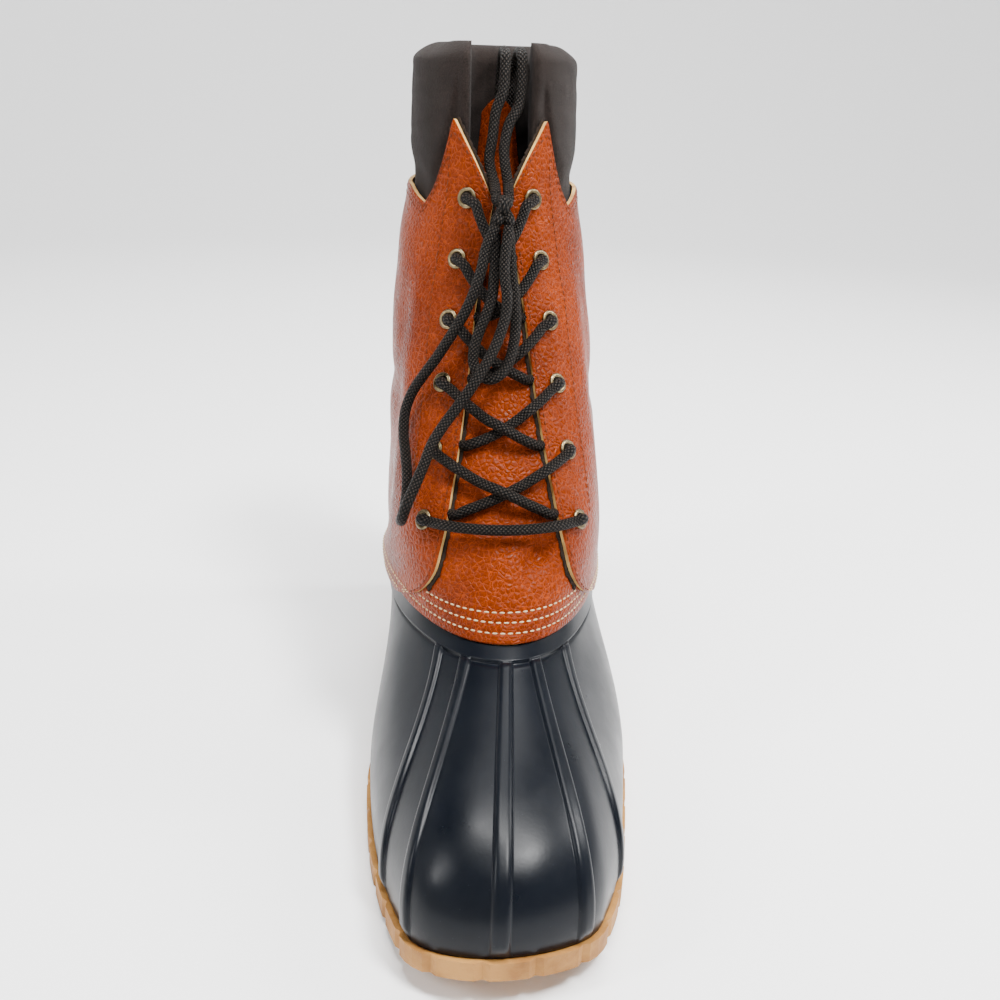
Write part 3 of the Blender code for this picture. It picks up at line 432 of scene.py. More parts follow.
def round_speed(surface, angle, rise):
    """Metres per radian round a surface."""
    step = 1e-3
    along = surface(angle + step, rise) - surface(angle - step, rise)
    return np.linalg.norm(along, axis=-1) / (2 * step)


def turn_at(opening, height):
    """The angle at which the shaft's ring is this far from its middle, for
    arrays of half openings (shares of half SHAFT_WIDTH) and heights."""
    turns = np.linspace(0, math.pi / 2, 241)
    found = []
    for wide, high in zip(np.ravel(opening), np.ravel(height)):
        ring = shaft_form(turns, np.full_like(turns, high))[:, 0] + MIDDLE
        found.append(np.interp(wide * SHAFT_WIDTH / 2, ring, turns))
    return np.array(found).reshape(np.shape(height))


EDGE_ROWS = np.linspace(0, 1, 261)
EDGE_TURNS = turn_at(lookup(FACINGS, 1, EDGE_ROWS), EDGE_ROWS)


def facing_edge(height):
    """Angle of the facings' front edge, read between rows worked out once."""
    return np.interp(height, EDGE_ROWS, EDGE_TURNS)


def tongue_edge(height):
    """Angle of the tongue's edge, under the quarters."""
    return facing_edge(height) + lookup(FACINGS, 2, height)


def over_tongue(turn, height):
    """1 where the quarters lie on the tongue, 0 where they lie on the rubber
    or on nothing."""
    past = (np.abs(turn) - tongue_edge(height) - 0.10) / 0.30
    return (1 - ease(past)) * (1 - ease((height - 0.50) / 0.12))


def leather_lift(turn, height):
    """How far the inside of the quarters stands off the form."""
    return 1.5 * GAP + (LEATHER + 1.5 * GAP) * over_tongue(turn, height)


def leather_face(turn, height):
    """Outside of the quarters."""
    return on_shaft(turn, height, leather_lift(turn, height) + LEATHER)


def eyelet_level(row):
    """Height of a row of eyelets, as a share of the way up the shaft."""
    step = (HIGHEST_EYELET - LOWEST_EYELET) / (EYELETS_PER_SIDE - 1)
    return float(level(LOWEST_EYELET + step * row))


def behind_edge(height, distance, far=1.3, steps=60):
    """Angle at a distance behind the facing's edge, measured round the outside
    of the leather."""
    edge = float(facing_edge(height))
    turns = np.linspace(edge, edge + far, steps)
    run = run_along(leather_face(turns, np.full_like(turns, height)))
    return float(np.interp(distance, run, turns))


def eyelet_turn(height, back=0.0):
    """Angle of an eyelet's centre, or of the spot that lies back in front of
    it."""
    return behind_edge(height, EYELET_SET - back, 1.2, 200)


def eyelet_place(side, row):
    """Centre on the leather's outer face, axis out, and two cross directions."""
    height = eyelet_level(row)
    turn = side * eyelet_turn(height)
    turn_array = np.array([turn])
    height_array = np.array([height])
    centre = leather_face(turn_array, height_array)[0]
    axis = outward(leather_face, turn_array, height_array)[0]
    across = unit(np.cross((0.0, 0.0, 1.0), axis))
    return centre, axis, across, np.cross(axis, across)


def collar_thick(height):
    """Padding of the collar at a height."""
    z = above_floor(height)
    heights = (COLLAR_FOOT, COLLAR_FOOT + 0.029, COLLAR_FOOT + 0.059, HEIGHT)
    thick = (COLLAR_HEM, COLLAR_THICK * 0.7, COLLAR_THICK, COLLAR_THICK)
    return np.interp(z, heights, thick)


def tongue_lift(height):
    """Inside of the tongue off the form: on the rubber low down, behind the
    collar higher up."""
    z = above_floor(height)
    inside = -collar_thick(np.maximum(height, level(0.228))) - 0.0011 - LEATHER
    return GAP + (inside - GAP) * ease((z - 0.186) / 0.042)


def even_path(route, spacing):
    """Points a fixed distance apart on a smooth curve through a route."""
    route = np.asarray(route, float)
    marks = run_along(route)
    fine = np.linspace(0, marks[-1], 600)
    curve = np.stack([smooth(fine, marks, route[:, k]) for k in range(3)], axis=-1)
    run = run_along(curve)
    count = max(int(round(run[-1] / spacing)), 3) + 1
    places = np.linspace(0, run[-1], count)
    return np.stack([np.interp(places, run, curve[:, k]) for k in range(3)], axis=-1)


def photo_camera():
    """Camera where the photographer stood, turned the least way that puts the
    boot's middle in the middle of the picture, so nothing is shifted."""
    yaw, pitch, roll = (math.radians(turn) for turn in AXIS_TURN)
    reach = math.cos(pitch)
    ahead = Vector((-math.sin(yaw) * reach, math.cos(yaw) * reach, math.sin(pitch)))
    right = Vector((math.cos(yaw), math.sin(yaw), 0))
    up = right.cross(ahead)
    across = right * math.cos(roll) + up * math.sin(roll)
    above = -right * math.sin(roll) + up * math.cos(roll)
    aside, below = ((spot - own) / AXIS_FOCAL for spot, own in zip(AIM, AXIS_SPOT))
    aim = ahead + across * aside - above * below
    swing = ahead.rotation_difference(aim.normalized()).to_matrix()
    across, above, ahead = swing @ across, swing @ above, swing @ ahead
    lens = bpy.data.cameras.new("photo_camera")
    lens.sensor_width = 36
    lens.lens = 36 * FOCAL
    lens.clip_start = 0.01
    camera = bpy.data.objects.new("photo_camera", lens)
    bpy.context.scene.collection.objects.link(camera)
    turn = Matrix((across, above, -ahead)).transposed().to_4x4()
    camera.matrix_world = Matrix.Translation(CAMERA_AT) @ turn
    bpy.context.scene.camera = camera


def soft_light(name, at, to, size, power):
    """A soft box that faces a point."""
    light = bpy.data.lights.new(name, "AREA")
    light.shape = "RECTANGLE"
    light.size, light.size_y = size
    light.energy = power
    lamp = bpy.data.objects.new(name, light)
    bpy.context.scene.collection.objects.link(lamp)
    lamp.location = at
    lamp.rotation_euler = (Vector(to) - Vector(at)).to_track_quat("-Z", "Y").to_euler()


def studio():
    """A pale round floor that curves up to a wall on all sides, so that every
    view has it behind, an even pale sky over it, and soft boxes."""
    angle = np.linspace(0, math.pi / 2, 20)
    reach = np.concatenate([[0.02, 0.3, 0.8, 1.5], 1.5 + 0.9 * np.sin(angle[1:]), [2.401]])
    rise = np.concatenate([[0.0, 0.0, 0.0, 0.0], 0.9 * (1 - np.cos(angle[1:])), [2.6]]) - 0.0002
    round_it = np.linspace(0, 2 * math.pi, 97)[:-1]
    grid = points(reach[:, None] * np.cos(round_it), reach[:, None] * np.sin(round_it), rise[:, None])
    quads = quads_of(*grid.shape[:2], 0, True)
    floor = link("floor", raw_mesh("floor", grid, quads, [np.arange(96)[::-1]]))
    dress(floor, plain("floor_paper", (0.90, 0.90, 0.90), 0.9))
    room = bpy.data.worlds.new("room")
    bpy.context.scene.world = room
    room.use_nodes = True
    room.node_tree.nodes["Background"].inputs["Color"].default_value = (0.95, 0.97, 1.0, 1)
    room.node_tree.nodes["Background"].inputs["Strength"].default_value = 0.16
    soft_light("key", (0.42, -0.45, 1.25), (0, 0.0, 0.10), (0.22, 0.22), 20)
    soft_light("strip", (0.13, -0.15, 1.30), (0.02, -0.10, 0.10), (0.12, 1.0), 34)
    soft_light("left", (-0.95, -0.35, 0.85), (0, 0, 0.12), (0.16, 0.5), 8)
    soft_light("right", (1.0, 0.10, 0.85), (0, 0, 0.12), (0.16, 0.5), 12)
    soft_light("behind", (0.1, 1.0, 1.5), (0, 0.9, 0.0), (1.0, 0.6), 26)


def link(name, mesh):
    made = bpy.data.objects.new(name, mesh)
    bpy.context.scene.collection.objects.link(made)
    return made


def raw_mesh(name, verts, quads, caps=()):
    """A mesh straight from arrays of vertices and quads, with caps given as
    rings of vertex numbers."""
    mesh = bpy.data.meshes.new(name)
    verts = np.asarray(verts, np.float32).reshape(-1, 3)
    quads = np.asarray(quads, np.int32).reshape(-1, 4)
    corners = np.concatenate([quads.ravel()] + [np.asarray(ring, np.int32) for ring in caps])
    sizes = np.concatenate([np.full(len(quads), 4)] + [[len(ring)] for ring in caps])
    starts = np.concatenate([[0], np.cumsum(sizes)[:-1]]).astype(np.int32)
    mesh.vertices.add(len(verts))
    mesh.vertices.foreach_set("co", verts.ravel())
    mesh.loops.add(len(corners))
    mesh.loops.foreach_set("vertex_index", corners.astype(np.int32))
    mesh.polygons.add(len(sizes))
    mesh.polygons.foreach_set("loop_start", starts)
    mesh.polygons.foreach_set("use_smooth", np.ones(len(sizes), bool))
    mesh.update(calc_edges=True)
    return mesh


def quads_of(rows, cols, start=0, round_it=False):
    """Quads of a grid, closed on itself along its columns when round_it."""
    wide = cols if round_it else cols - 1
    low = start + np.arange(rows - 1)[:, None] * cols + np.arange(wide)[None, :]
    step = (np.arange(wide) + 1) % cols
    next_low = start + np.arange(rows - 1)[:, None] * cols + step[None, :]
    return np.stack([low, next_low, next_low + cols, low + cols], axis=-1).reshape(-1, 4)


def tie(first, second, round_it=False):
    """Quads between two rows of vertex numbers."""
    first, second = np.asarray(first), np.asarray(second)
    if round_it:
        first, second = np.append(first, first[0]), np.append(second, second[0])
    return np.stack([first[:-1], first[1:], second[1:], second[:-1]], axis=-1)


def sheet_quads(rows, cols):
    """Quads of two matching grids, one after the other: the first, the second
    turned over, and the strips that join them round their border."""
    number = np.arange(2 * rows * cols).reshape(2, rows, cols)
    border = np.concatenate([
        tie(number[1, 0], number[0, 0]), tie(number[0, -1], number[1, -1]),
        tie(number[0, :, 0], number[1, :, 0]), tie(number[1, :, -1], number[0, :, -1])])
    return quads_of(rows, cols), quads_of(rows, cols, rows * cols)[:, ::-1], border


def face_out(made):
    """Recalculates the normals of a closed mesh so that they point out."""
    work = bmesh.new()
    work.from_mesh(made.data)
    bmesh.ops.recalc_face_normals(work, faces=work.faces)
    if work.calc_volume(signed=True) < 0:
        bmesh.ops.reverse_faces(work, faces=work.faces)
    work.to_mesh(made.data)
    work.free()


EDGE_ROUND = 0.0004       # how far the grain face is drawn in at its border


def hide_wall(name, outer, inner):
    """A sheet of leather: its grain face, its back, and cut edges round the
    whole border, each with its own material slot (0, 2 and 1). The border of
    the grain face is drawn in a little, so that the cut edge looks rounded."""
    rows, cols = outer.shape[:2]
    drawn = outer.copy()
    for line in ((0, slice(None)), (-1, slice(None)), (slice(None), 0), (slice(None), -1)):
        drawn[line] += unit(inner[line] - outer[line]) * EDGE_ROUND
    top, under, edges = sheet_quads(rows, cols)
    verts = np.concatenate([drawn.reshape(-1, 3), inner.reshape(-1, 3)])
    mesh = raw_mesh(name, verts, np.concatenate([top, edges, under]))
    slots = np.concatenate([np.zeros(len(top)), np.ones(len(edges)), np.full(len(under), 2)])
    made = link(name, mesh)
    for _ in range(3):
        mesh.materials.append(None)
    mesh.polygons.foreach_set("material_index", slots.astype(np.int32))
    ends = np.empty(len(mesh.edges) * 2, np.int32)
    mesh.edges.foreach_get("vertices", ends)
    ends = ends.reshape(-1, 2)
    border = np.zeros((rows, cols), bool)
    border[0] = border[-1] = True
    border[:, 0] = border[:, -1] = True
    on_border = np.concatenate([border.ravel(), border.ravel()])
    sharp = on_border[ends[:, 0]] & on_border[ends[:, 1]]
    mesh.edges.foreach_set("use_edge_sharp", sharp)
    mesh.update()
    return made


def tube(path):
    """Rings square to a path, carried along it without twist, and drawn in
    over the last radius at both ends, so that the cord ends in a dome."""
    radius = LACE / 2
    ahead = unit(np.gradient(path, axis=0))
    side = np.zeros_like(path)
    side[0] = unit(np.cross(ahead[0], (0.0, 0.0, 1.0)) + (1e-6, 0, 0))
    for k in range(1, len(path)):
        side[k] = unit(side[k - 1] - ahead[k] * np.dot(side[k - 1], ahead[k]))
    over = np.cross(ahead, side)
    run = run_along(path)
    angle = 2 * math.pi * np.arange(LACE_SIDES) / LACE_SIDES
    ends = np.clip(np.minimum(run, run[-1] - run) / radius, 0, 1)
    girth = radius * np.sqrt(np.clip(1 - (1 - ends) ** 2, 0.04, 1))
    ring = side[:, None] * np.cos(angle)[None, :, None] + over[:, None] * np.sin(angle)[None, :, None]
    return path[:, None] + ring * girth[:, None, None], run


def cord_mesh(paths):
    """Round cords along paths, each closed at its ends, as arrays: vertices,
    quads, caps and a UV of turns round it and centimetres along it."""
    verts, quads, caps, uvs = [], [], [], []
    start = 0
    low = np.arange(LACE_SIDES)
    round_it = np.stack([low, low + 1, low + 1, low], axis=-1) / LACE_SIDES
    for path in paths:
        grid, run = tube(path)
        rows = len(run)
        verts.append(grid.reshape(-1, 3))
        quads.append(quads_of(rows, LACE_SIDES, start, True))
        along = np.stack([run[:-1], run[:-1], run[1:], run[1:]], axis=-1)
        along = np.repeat(along, LACE_SIDES, axis=0)
        turns = np.tile(round_it, (rows - 1, 1))
        uvs.append(np.stack([turns, along * 100], axis=-1).reshape(-1, 2))
        caps += [start + low[::-1], start + (rows - 1) * LACE_SIDES + low]
        start += rows * LACE_SIDES
    return np.concatenate(verts), np.concatenate(quads), caps, np.concatenate(uvs)


def cord_object(name, paths):
    """Cords as one object, with the UV that the braid runs on."""
    verts, quads, caps, uvs = cord_mesh(paths)
    mesh = raw_mesh(name, verts, quads, caps)
    layer = mesh.uv_layers.new(name="along")
    spots = np.zeros((len(mesh.loops), 2), np.float32)
    spots[:len(uvs)] = uvs
    layer.data.foreach_set("uv", spots.ravel())
    made = link(name, mesh)
    face_out(made)
    return made


def joined(name, meshes):
    """Several arrays of vertices and quads as one mesh object."""
    start = 0
    verts, quads = [], []
    for some_verts, some_quads in meshes:
        some_verts = np.asarray(some_verts).reshape(-1, 3)
        verts.append(some_verts)
        quads.append(np.asarray(some_quads) + start)
        start += len(some_verts)
    return link(name, raw_mesh(name, np.concatenate(verts), np.concatenate(quads)))


def plain(name, colour, roughness, metallic=0.0):
    made = bpy.data.materials.new(name)
    made.use_nodes = True
    shader = made.node_tree.nodes["Principled BSDF"]
    shader.inputs["Base Color"].default_value = (*colour, 1.0)
    shader.inputs["Roughness"].default_value = roughness
    shader.inputs["Metallic"].default_value = metallic
    return made


def dress(made, *finishes):
    made.data.materials.clear()
    for finish in finishes:
        made.data.materials.append(finish)


class Finish:
    """A material on Object coordinates, built up node by node."""

    def __init__(self, name, roughness, metallic=0.0):
        self.made = plain(name, (0.5, 0.5, 0.5), roughness, metallic)
        self.tree = self.made.node_tree
        self.shader = self.tree.nodes["Principled BSDF"]
        self.place = self.tree.nodes.new("ShaderNodeTexCoord").outputs["Object"]

    def node(self, kind, **sockets):
        made = self.tree.nodes.new(kind)
        for name, value in sockets.items():
            self.feed(made.inputs[name.replace("_", " ")], value)
        return made

    def feed(self, socket, value):
        if isinstance(value, bpy.types.NodeSocket):
            self.tree.links.new(value, socket)
        else:
            socket.default_value = value

    def noise(self, scale, detail=3.0, roughness=0.5):
        made = self.node("ShaderNodeTexNoise", Vector=self.place, Scale=scale,
                         Detail=detail, Roughness=roughness)
        return made.outputs["Fac"]

    def cells(self, scale, feature="F1", place=None):
        made = self.tree.nodes.new("ShaderNodeTexVoronoi")
        made.feature = feature
        self.feed(made.inputs["Vector"], place or self.place)
        made.inputs["Scale"].default_value = scale
        return made.outputs["Distance"]

    def ramp(self, value, *stops):
        """Straight steps between numbers: (place, value) pairs."""
        made = self.tree.nodes.new("ShaderNodeValToRGB")
        ramp = made.color_ramp
        while len(ramp.elements) < len(stops):
            ramp.elements.new(0.5)
        for element, (place, shade) in zip(ramp.elements, stops):
            element.position = place
            tone = shade if isinstance(shade, tuple) else (shade, shade, shade)
            element.color = (*tone, 1.0)
        self.feed(made.inputs["Fac"], value)
        return made.outputs["Color"]

    def maths(self, operation, first, second=0.0):
        made = self.tree.nodes.new("ShaderNodeMath")
        made.operation = operation
        self.feed(made.inputs[0], first)
        self.feed(made.inputs[1], second)
        return made.outputs[0]

    def blend(self, share, first, second):
        made = self.tree.nodes.new("ShaderNodeMix")
        made.data_type = "RGBA"
        self.feed(made.inputs["Factor"], share)
        colours = [socket for socket in made.inputs if socket.type == "RGBA"]
        for socket, value in zip(colours, (first, second)):
            if isinstance(value, tuple):
                value = (*value, 1.0)
            self.feed(socket, value)
        return [socket for socket in made.outputs if socket.type == "RGBA"][0]

    def warp(self, place, amount, scale):
        """Coordinates pushed about by a soft noise."""
        noise = self.node("ShaderNodeTexNoise", Vector=place, Scale=scale, Detail=2.0)
        shift = self.node("ShaderNodeVectorMath")
        shift.operation = "SCALE"
        self.feed(shift.inputs[0], noise.outputs["Color"])
        shift.inputs["Scale"].default_value = amount
        total = self.node("ShaderNodeVectorMath")
        self.feed(total.inputs[0], place)
        self.feed(total.inputs[1], shift.outputs[0])
        return total.outputs[0]

    def bumps(self, *heights):
        """Bump maps laid on each other: (height, strength, distance)."""
        normal = None
        for height, strength, distance in heights:
            made = self.node("ShaderNodeBump", Height=height, Strength=strength, Distance=distance)
            if normal is not None:
                self.feed(made.inputs["Normal"], normal)
            normal = made.outputs["Normal"]
        self.feed(self.shader.inputs["Normal"], normal)

    def colour(self, value):
        if isinstance(value, tuple):
            value = (*value, 1.0)
        self.feed(self.shader.inputs["Base Color"], value)

    def roughness(self, value):
        self.feed(self.shader.inputs["Roughness"], value)

    def specular(self, value):
        self.feed(self.shader.inputs["Specular IOR Level"], value)


def pebbled_leather(name, light, dark):
    """Glossy pebbled hide: uneven cells about 2 mm across, their domes deep in
    colour and the sunk lines between them lighter, where the dye is thin, with
    smaller wrinkles inside them and slow patches of lighter and darker dye."""
    hide = Finish(name, 0.34)
    place = hide.warp(hide.place, 0.0016, 240.0)
    pebble = hide.cells(430.0, "DISTANCE_TO_EDGE", place)
    small = hide.cells(980.0, "DISTANCE_TO_EDGE", place)
    dome = hide.ramp(pebble, (0.0, 0.0), (0.09, 0.5), (0.40, 1.0))
    fine = hide.ramp(small, (0.0, 0.0), (0.16, 1.0))
    patch = hide.noise(38.0, 4.0, 0.6)
    cloud = hide.noise(11.0, 2.0, 0.5)
    tone = hide.blend(hide.ramp(patch, (0.30, 0.30), (0.66, 1.0)), dark, light)
    tone = hide.blend(hide.ramp(cloud, (0.35, 0.35), (0.62, 0.0)), tone, dark)
    thin = tuple(min(c * 2.0 + 0.002, 1.0) for c in light)
    worn = hide.ramp(patch, (0.25, 0.35), (0.6, 1.0))
    lines = hide.maths("MULTIPLY", hide.ramp(pebble, (0.0, 0.62), (0.07, 0.0)), worn)
    tone = hide.blend(lines, tone, thin)
    hide.colour(hide.blend(hide.ramp(small, (0.0, 0.25), (0.10, 0.0)), tone, thin))
    hide.roughness(hide.ramp(hide.noise(150.0, 3.0), (0.3, 0.24), (0.7, 0.38)))
    hide.specular(0.07)
    hide.bumps((dome, 0.62, 0.0006), (fine, 0.16, 0.0002), (hide.noise(2600.0, 2.0), 0.12, 0.0001))
    return hide.made


def cut_edge(name, light, dark):
    """Raw cut edge of the hide: pale, fibrous, in layers."""
    edge = Finish(name, 0.75)
    fibre = edge.noise(1500.0, 4.0, 0.7)
    slow = edge.noise(120.0, 2.0)
    tone = edge.blend(edge.ramp(slow, (0.35, 0.0), (0.7, 1.0)), light, dark)
    edge.colour(edge.blend(edge.ramp(fibre, (0.4, 0.0), (0.75, 0.5)), tone, dark))
    edge.bumps((fibre, 0.5, 0.0003))
    return edge.made


def napped(name, light, dark, scale, strength, distance, sheen=0.0):
    """Felt, or the hide's napped inner face."""
    nap = Finish(name, 0.95)
    fuzz = nap.noise(scale, 5.0, 0.75)
    nap.colour(nap.blend(nap.ramp(fuzz, (0.35, 0.0), (0.7, 1.0)), dark, light))
    nap.specular(0.1)
    nap.shader.inputs["Sheen Weight"].default_value = sheen
    nap.bumps((fuzz, strength, distance))
    return nap.made


def moulded_rubber(name, body, worn):
    """Satin moulded rubber: a faint orange peel, a few dusty specks and soft
    changes of gloss."""
    gum = Finish(name, 0.36)
    peel = gum.noise(900.0, 3.0, 0.5)
    slow = gum.noise(22.0, 3.0, 0.55)
    speck = gum.cells(330.0)
    dust = gum.ramp(speck, (0.035, 0.55), (0.07, 0.0))
    tone = gum.blend(gum.ramp(slow, (0.35, 0.0), (0.75, 1.0)), body, worn)
    gum.colour(gum.blend(dust, tone, (0.022, 0.025, 0.031)))
    gum.roughness(gum.ramp(gum.noise(60.0, 4.0, 0.6), (0.25, 0.26), (0.75, 0.38)))
    gum.specular(0.14)
    gum.bumps((peel, 0.10, 0.0002), (gum.noise(55.0, 2.0), 0.10, 0.0008))
    return gum.made


def gum_edge(name, light, dark):
    """Matt tan gum with a moulded grain, darker towards the bottom."""
    gum = Finish(name, 0.62)
    grain = gum.noise(1100.0, 3.0, 0.6)
    slow = gum.noise(70.0, 4.0, 0.6)
    tone = gum.blend(gum.ramp(slow, (0.35, 0.0), (0.75, 1.0)), light, dark)
    height = gum.node("ShaderNodeSeparateXYZ", Vector=gum.place).outputs["Z"]
    # darker towards the bottom: the lowest 6 mm is blended towards a darker tan
    low = gum.ramp(height, (0.0, 0.45), (0.006, 0.0))
    gum.colour(gum.blend(low, tone, tuple(c * 0.6 for c in dark)))
    gum.specular(0.2)
    gum.bumps((grain, 0.5, 0.0004), (slow, 0.45, 0.0010))
    return gum.made


def foam_cloth(name, light, dark):
    """Close knitted cloth over foam: a fine two-tone fleck."""
    cloth = Finish(name, 0.93)
    fleck = cloth.noise(2300.0, 3.0, 0.8)
    knit = cloth.cells(1900.0)
    slow = cloth.noise(45.0, 3.0, 0.6)
    tone = cloth.blend(cloth.ramp(fleck, (0.38, 0.0), (0.62, 1.0)), dark, light)
    cloth.colour(cloth.blend(cloth.ramp(slow, (0.3, 0.4), (0.7, 0.0)), tone, dark))
    cloth.specular(0.15)
    cloth.shader.inputs["Sheen Weight"].default_value = 0.03
    cloth.bumps((fleck, 0.5, 0.0003), (knit, 0.5, 0.0003), (slow, 0.3, 0.002))
    return cloth.made


def old_brass(name):
    """Antique brass, darker where it is not rubbed."""
    brass = Finish(name, 0.32, 1.0)
    patch = brass.noise(420.0, 4.0, 0.6)
    dull = brass.ramp(patch, (0.35, 0.0), (0.7, 1.0))
    brass.colour(brass.blend(dull, (0.22, 0.17, 0.09), (0.06, 0.045, 0.025)))
    brass.roughness(brass.ramp(patch, (0.3, 0.24), (0.7, 0.48)))
    brass.bumps((brass.noise(1400.0, 2.0), 0.15, 0.0001))
    return brass.made


def braid_cord(name, light, dark):
    """Round waxed braid on the cord's own UV, which is turns round it and
    centimetres along it: two sets of crossing spirals leave rows of beads,
    with fibres along them. The beads' pale tops are a painted highlight;
    the black between them is the cord's own near-black."""
    cord = Finish(name, 0.50)
    spot = cord.node("ShaderNodeUVMap")
    spot.uv_map = "along"
    split = cord.node("ShaderNodeSeparateXYZ", Vector=spot.outputs["UV"])
    round_it = cord.maths("MULTIPLY", split.outputs["X"], 8.0 * math.pi)
    along = cord.maths("MULTIPLY", split.outputs["Y"], 5.6 * math.pi)
    one = cord.maths("SINE", cord.maths("ADD", round_it, along))
    two = cord.maths("SINE", cord.maths("SUBTRACT", round_it, along))
    bead = cord.maths("POWER", cord.maths("ABSOLUTE", cord.maths("MULTIPLY", one, two)), 0.7)
    fibre = cord.noise(3200.0, 3.0, 0.7)
    # painted highlight: the bead tops are coloured pale over the cord's own near-black
    tone = cord.blend(cord.ramp(bead, (0.52, 0.0), (0.98, 1.0)), dark, light)
    cord.colour(cord.blend(cord.ramp(fibre, (0.4, 0.0), (0.75, 0.35)), tone, dark))
    cord.specular(0.09)
    cord.bumps((bead, 1.0, 0.0006), (fibre, 0.3, 0.0002))
    return cord.made


def thread(name, light, dark):
    """Twisted thread of the stitches."""
    cord = Finish(name, 0.6)
    fibre = cord.noise(2600.0, 2.0, 0.6)
    cord.colour(cord.blend(cord.ramp(fibre, (0.35, 0.0), (0.7, 1.0)), light, dark))
    cord.specular(0.15)
    cord.bumps((fibre, 0.3, 0.0001))
    return cord.made


def dense_columns():
    """Knots round the rubber, as base angle and shift in metres, with the
    number of steps to the next knot: fine across each rib."""
    reach = RIB_WIDTH / 2 + 0.0009
    knots = []
    for side in (1, -1):
        ribs = sorted(math.acos(1 - 2 * place) for s, place in RIBS if s == side)
        made = [(0.0, 0.0, 11), (0.0, side * reach, 6)]
        for base in ribs:
            made += [(side * base, -side * reach, 22), (side * base, side * reach, 6)]
        made[-1] = (*made[-1][:2], 4)
        rest = np.linspace(ribs[-1] + 0.16, math.pi, 14)
        made += [(side * angle, 0.0, 6) for angle in rest]
        knots.append(made)
    return knots


def spread(knots, rise):
    """Angles of the grid's columns on one side, for every row's rise: each
    knot stands its shift away from its base angle, and the columns between
    two knots are even."""
    base = np.array([knot[0] for knot in knots])[None, :]
    shift = np.array([knot[1] for knot in knots])[None, :]
    angle = base + shift / round_speed(rubber_form, *np.broadcast_arrays(base, rise[:, None]))
    marks = np.concatenate([[0], np.cumsum([knot[2] for knot in knots[:-1]])])
    place = np.arange(marks[-1])
    low = np.searchsorted(marks, place, side="right") - 1
    part = (place - marks[low]) / (marks[low + 1] - marks[low])
    return angle[:, low] + (angle[:, low + 1] - angle[:, low]) * part


def rib_height(angle, rise):
    """Height of the ribs: a rounded crown that falls to the foot on both
    sides, by distance from the nearest rib's line along the surface."""
    total = np.zeros_like(angle)
    for side, place in RIBS:
        base = side * math.acos(1 - 2 * place)
        speed = round_speed(rubber_form, np.full_like(rise, base), rise)
        away = np.abs(angle - base) * speed[:, None]
        crown = RIB_CROWN * 0.22
        fall = 1 - np.clip((away - crown) / (RIB_WIDTH / 2 - crown), 0, 1) ** 2.2
        total = np.maximum(total, np.sqrt(np.clip(fall, 0, 1)))
    return total * RIB_RAISE


def rubber_bottom():
    """The moulded bottom: outside with rounded ribs and rim band, a wall
    thickness to the inside, a lap inside the leather, and its floor."""
    right, left = dense_columns()
    foot = BAND_WIDTH + 0.0014
    shares = np.concatenate([[0, 0.012, 0.03], np.linspace(0.055, 1, 62)[:-1]])
    drops = np.concatenate([
        np.linspace(foot, BAND_WIDTH - 0.0008, 8), np.linspace(BAND_WIDTH - 0.0018, 0.0024, 6),
        np.linspace(0.0018, 0.0003, 7)])
    flat = np.zeros(len(shares) + len(drops))
    share = np.concatenate([shares, np.ones(len(drops))])[:, None]
    drop = np.concatenate([np.full(len(shares), foot), drops])[:, None]
    speed = float(np.median(rubber_top_speed(np.linspace(-3, 3, 200))))
    guess = (share * (1 - drop / speed))[:, 0]
    sides = spread(right, guess), spread(left, guess)
    angle = np.concatenate([sides[0], flat[:, None] + math.pi, sides[1][:, :0:-1]], axis=1)
    at = share * (1 - drop / rubber_top_speed(angle))
    spot = rubber_form(angle, at)
    normal = outward(rubber_form, angle, at)
    band = BAND_RAISE * ease((BAND_WIDTH + 0.0004 - drop) / 0.0009) * ease((drop - 0.0004) / 0.0009)
    ribs = rib_height(angle, guess) * ease(at / 0.05) * ease((drop - BAND_WIDTH) / 0.0006 + 0.5)
    line = 0.0004 * np.exp(-((drop - BAND_WIDTH - 0.0009) / 0.0004) ** 2) * (share == 1)
    outside = spot + normal * (np.maximum(ribs, band) - line)[..., None]
    inside = spot - normal * RUBBER_WALL
    floor = spot[0] - unit(normal[0] * (1, 1, 0)) * RUBBER_WALL
    floor[:, 2] = sole_top(floor[:, 1]) + GAP + RUBBER_FLOOR
    turn = rim_turn(angle[0])
    outer, inner = list(outside), [floor] + list(inside[6:60:6]) + [inside[-1]]
    for part, wall_share in ((0.06, 1.0), (0.5, 0.9), (1.0, 0.7)):
        height = part * RIM_LAP / SHAFT_RISE * np.ones_like(turn)
        sink = GAP * (2.5 if part > 0.1 else 1.5)
        outer.append(on_shaft(turn, height, -sink))
        inner.append(on_shaft(turn, height, -sink - RUBBER_WALL * wall_share))
    outer, inner = np.array(outer), np.array(inner)
    count, cols = outer.shape[:2]
    number = np.arange(count * cols).reshape(count, cols)
    within = count * cols + np.arange(len(inner) * cols).reshape(-1, cols)
    quads = np.concatenate([
        quads_of(count, cols, 0, True), quads_of(len(inner), cols, count * cols, True),
        tie(number[-1], within[-1], True)])
    verts = np.concatenate([outer.reshape(-1, 3), inner.reshape(-1, 3)])
    caps = []
    for ring in (number[0], within[0]):
        across = np.roll(ring[::-1], 1)
        for low in range(cols // 2 + 1):
            four = [ring[low], ring[(low + 1) % cols], across[(low + 1) % cols], across[low]]
            four = list(dict.fromkeys(int(spot) for spot in four))
            if len(four) > 2 and low < (cols - 1) / 2:
                caps.append(four)
    made = link("moulded_bottom", raw_mesh("moulded_bottom", verts, quads, caps))
    face_out(made)
    return made


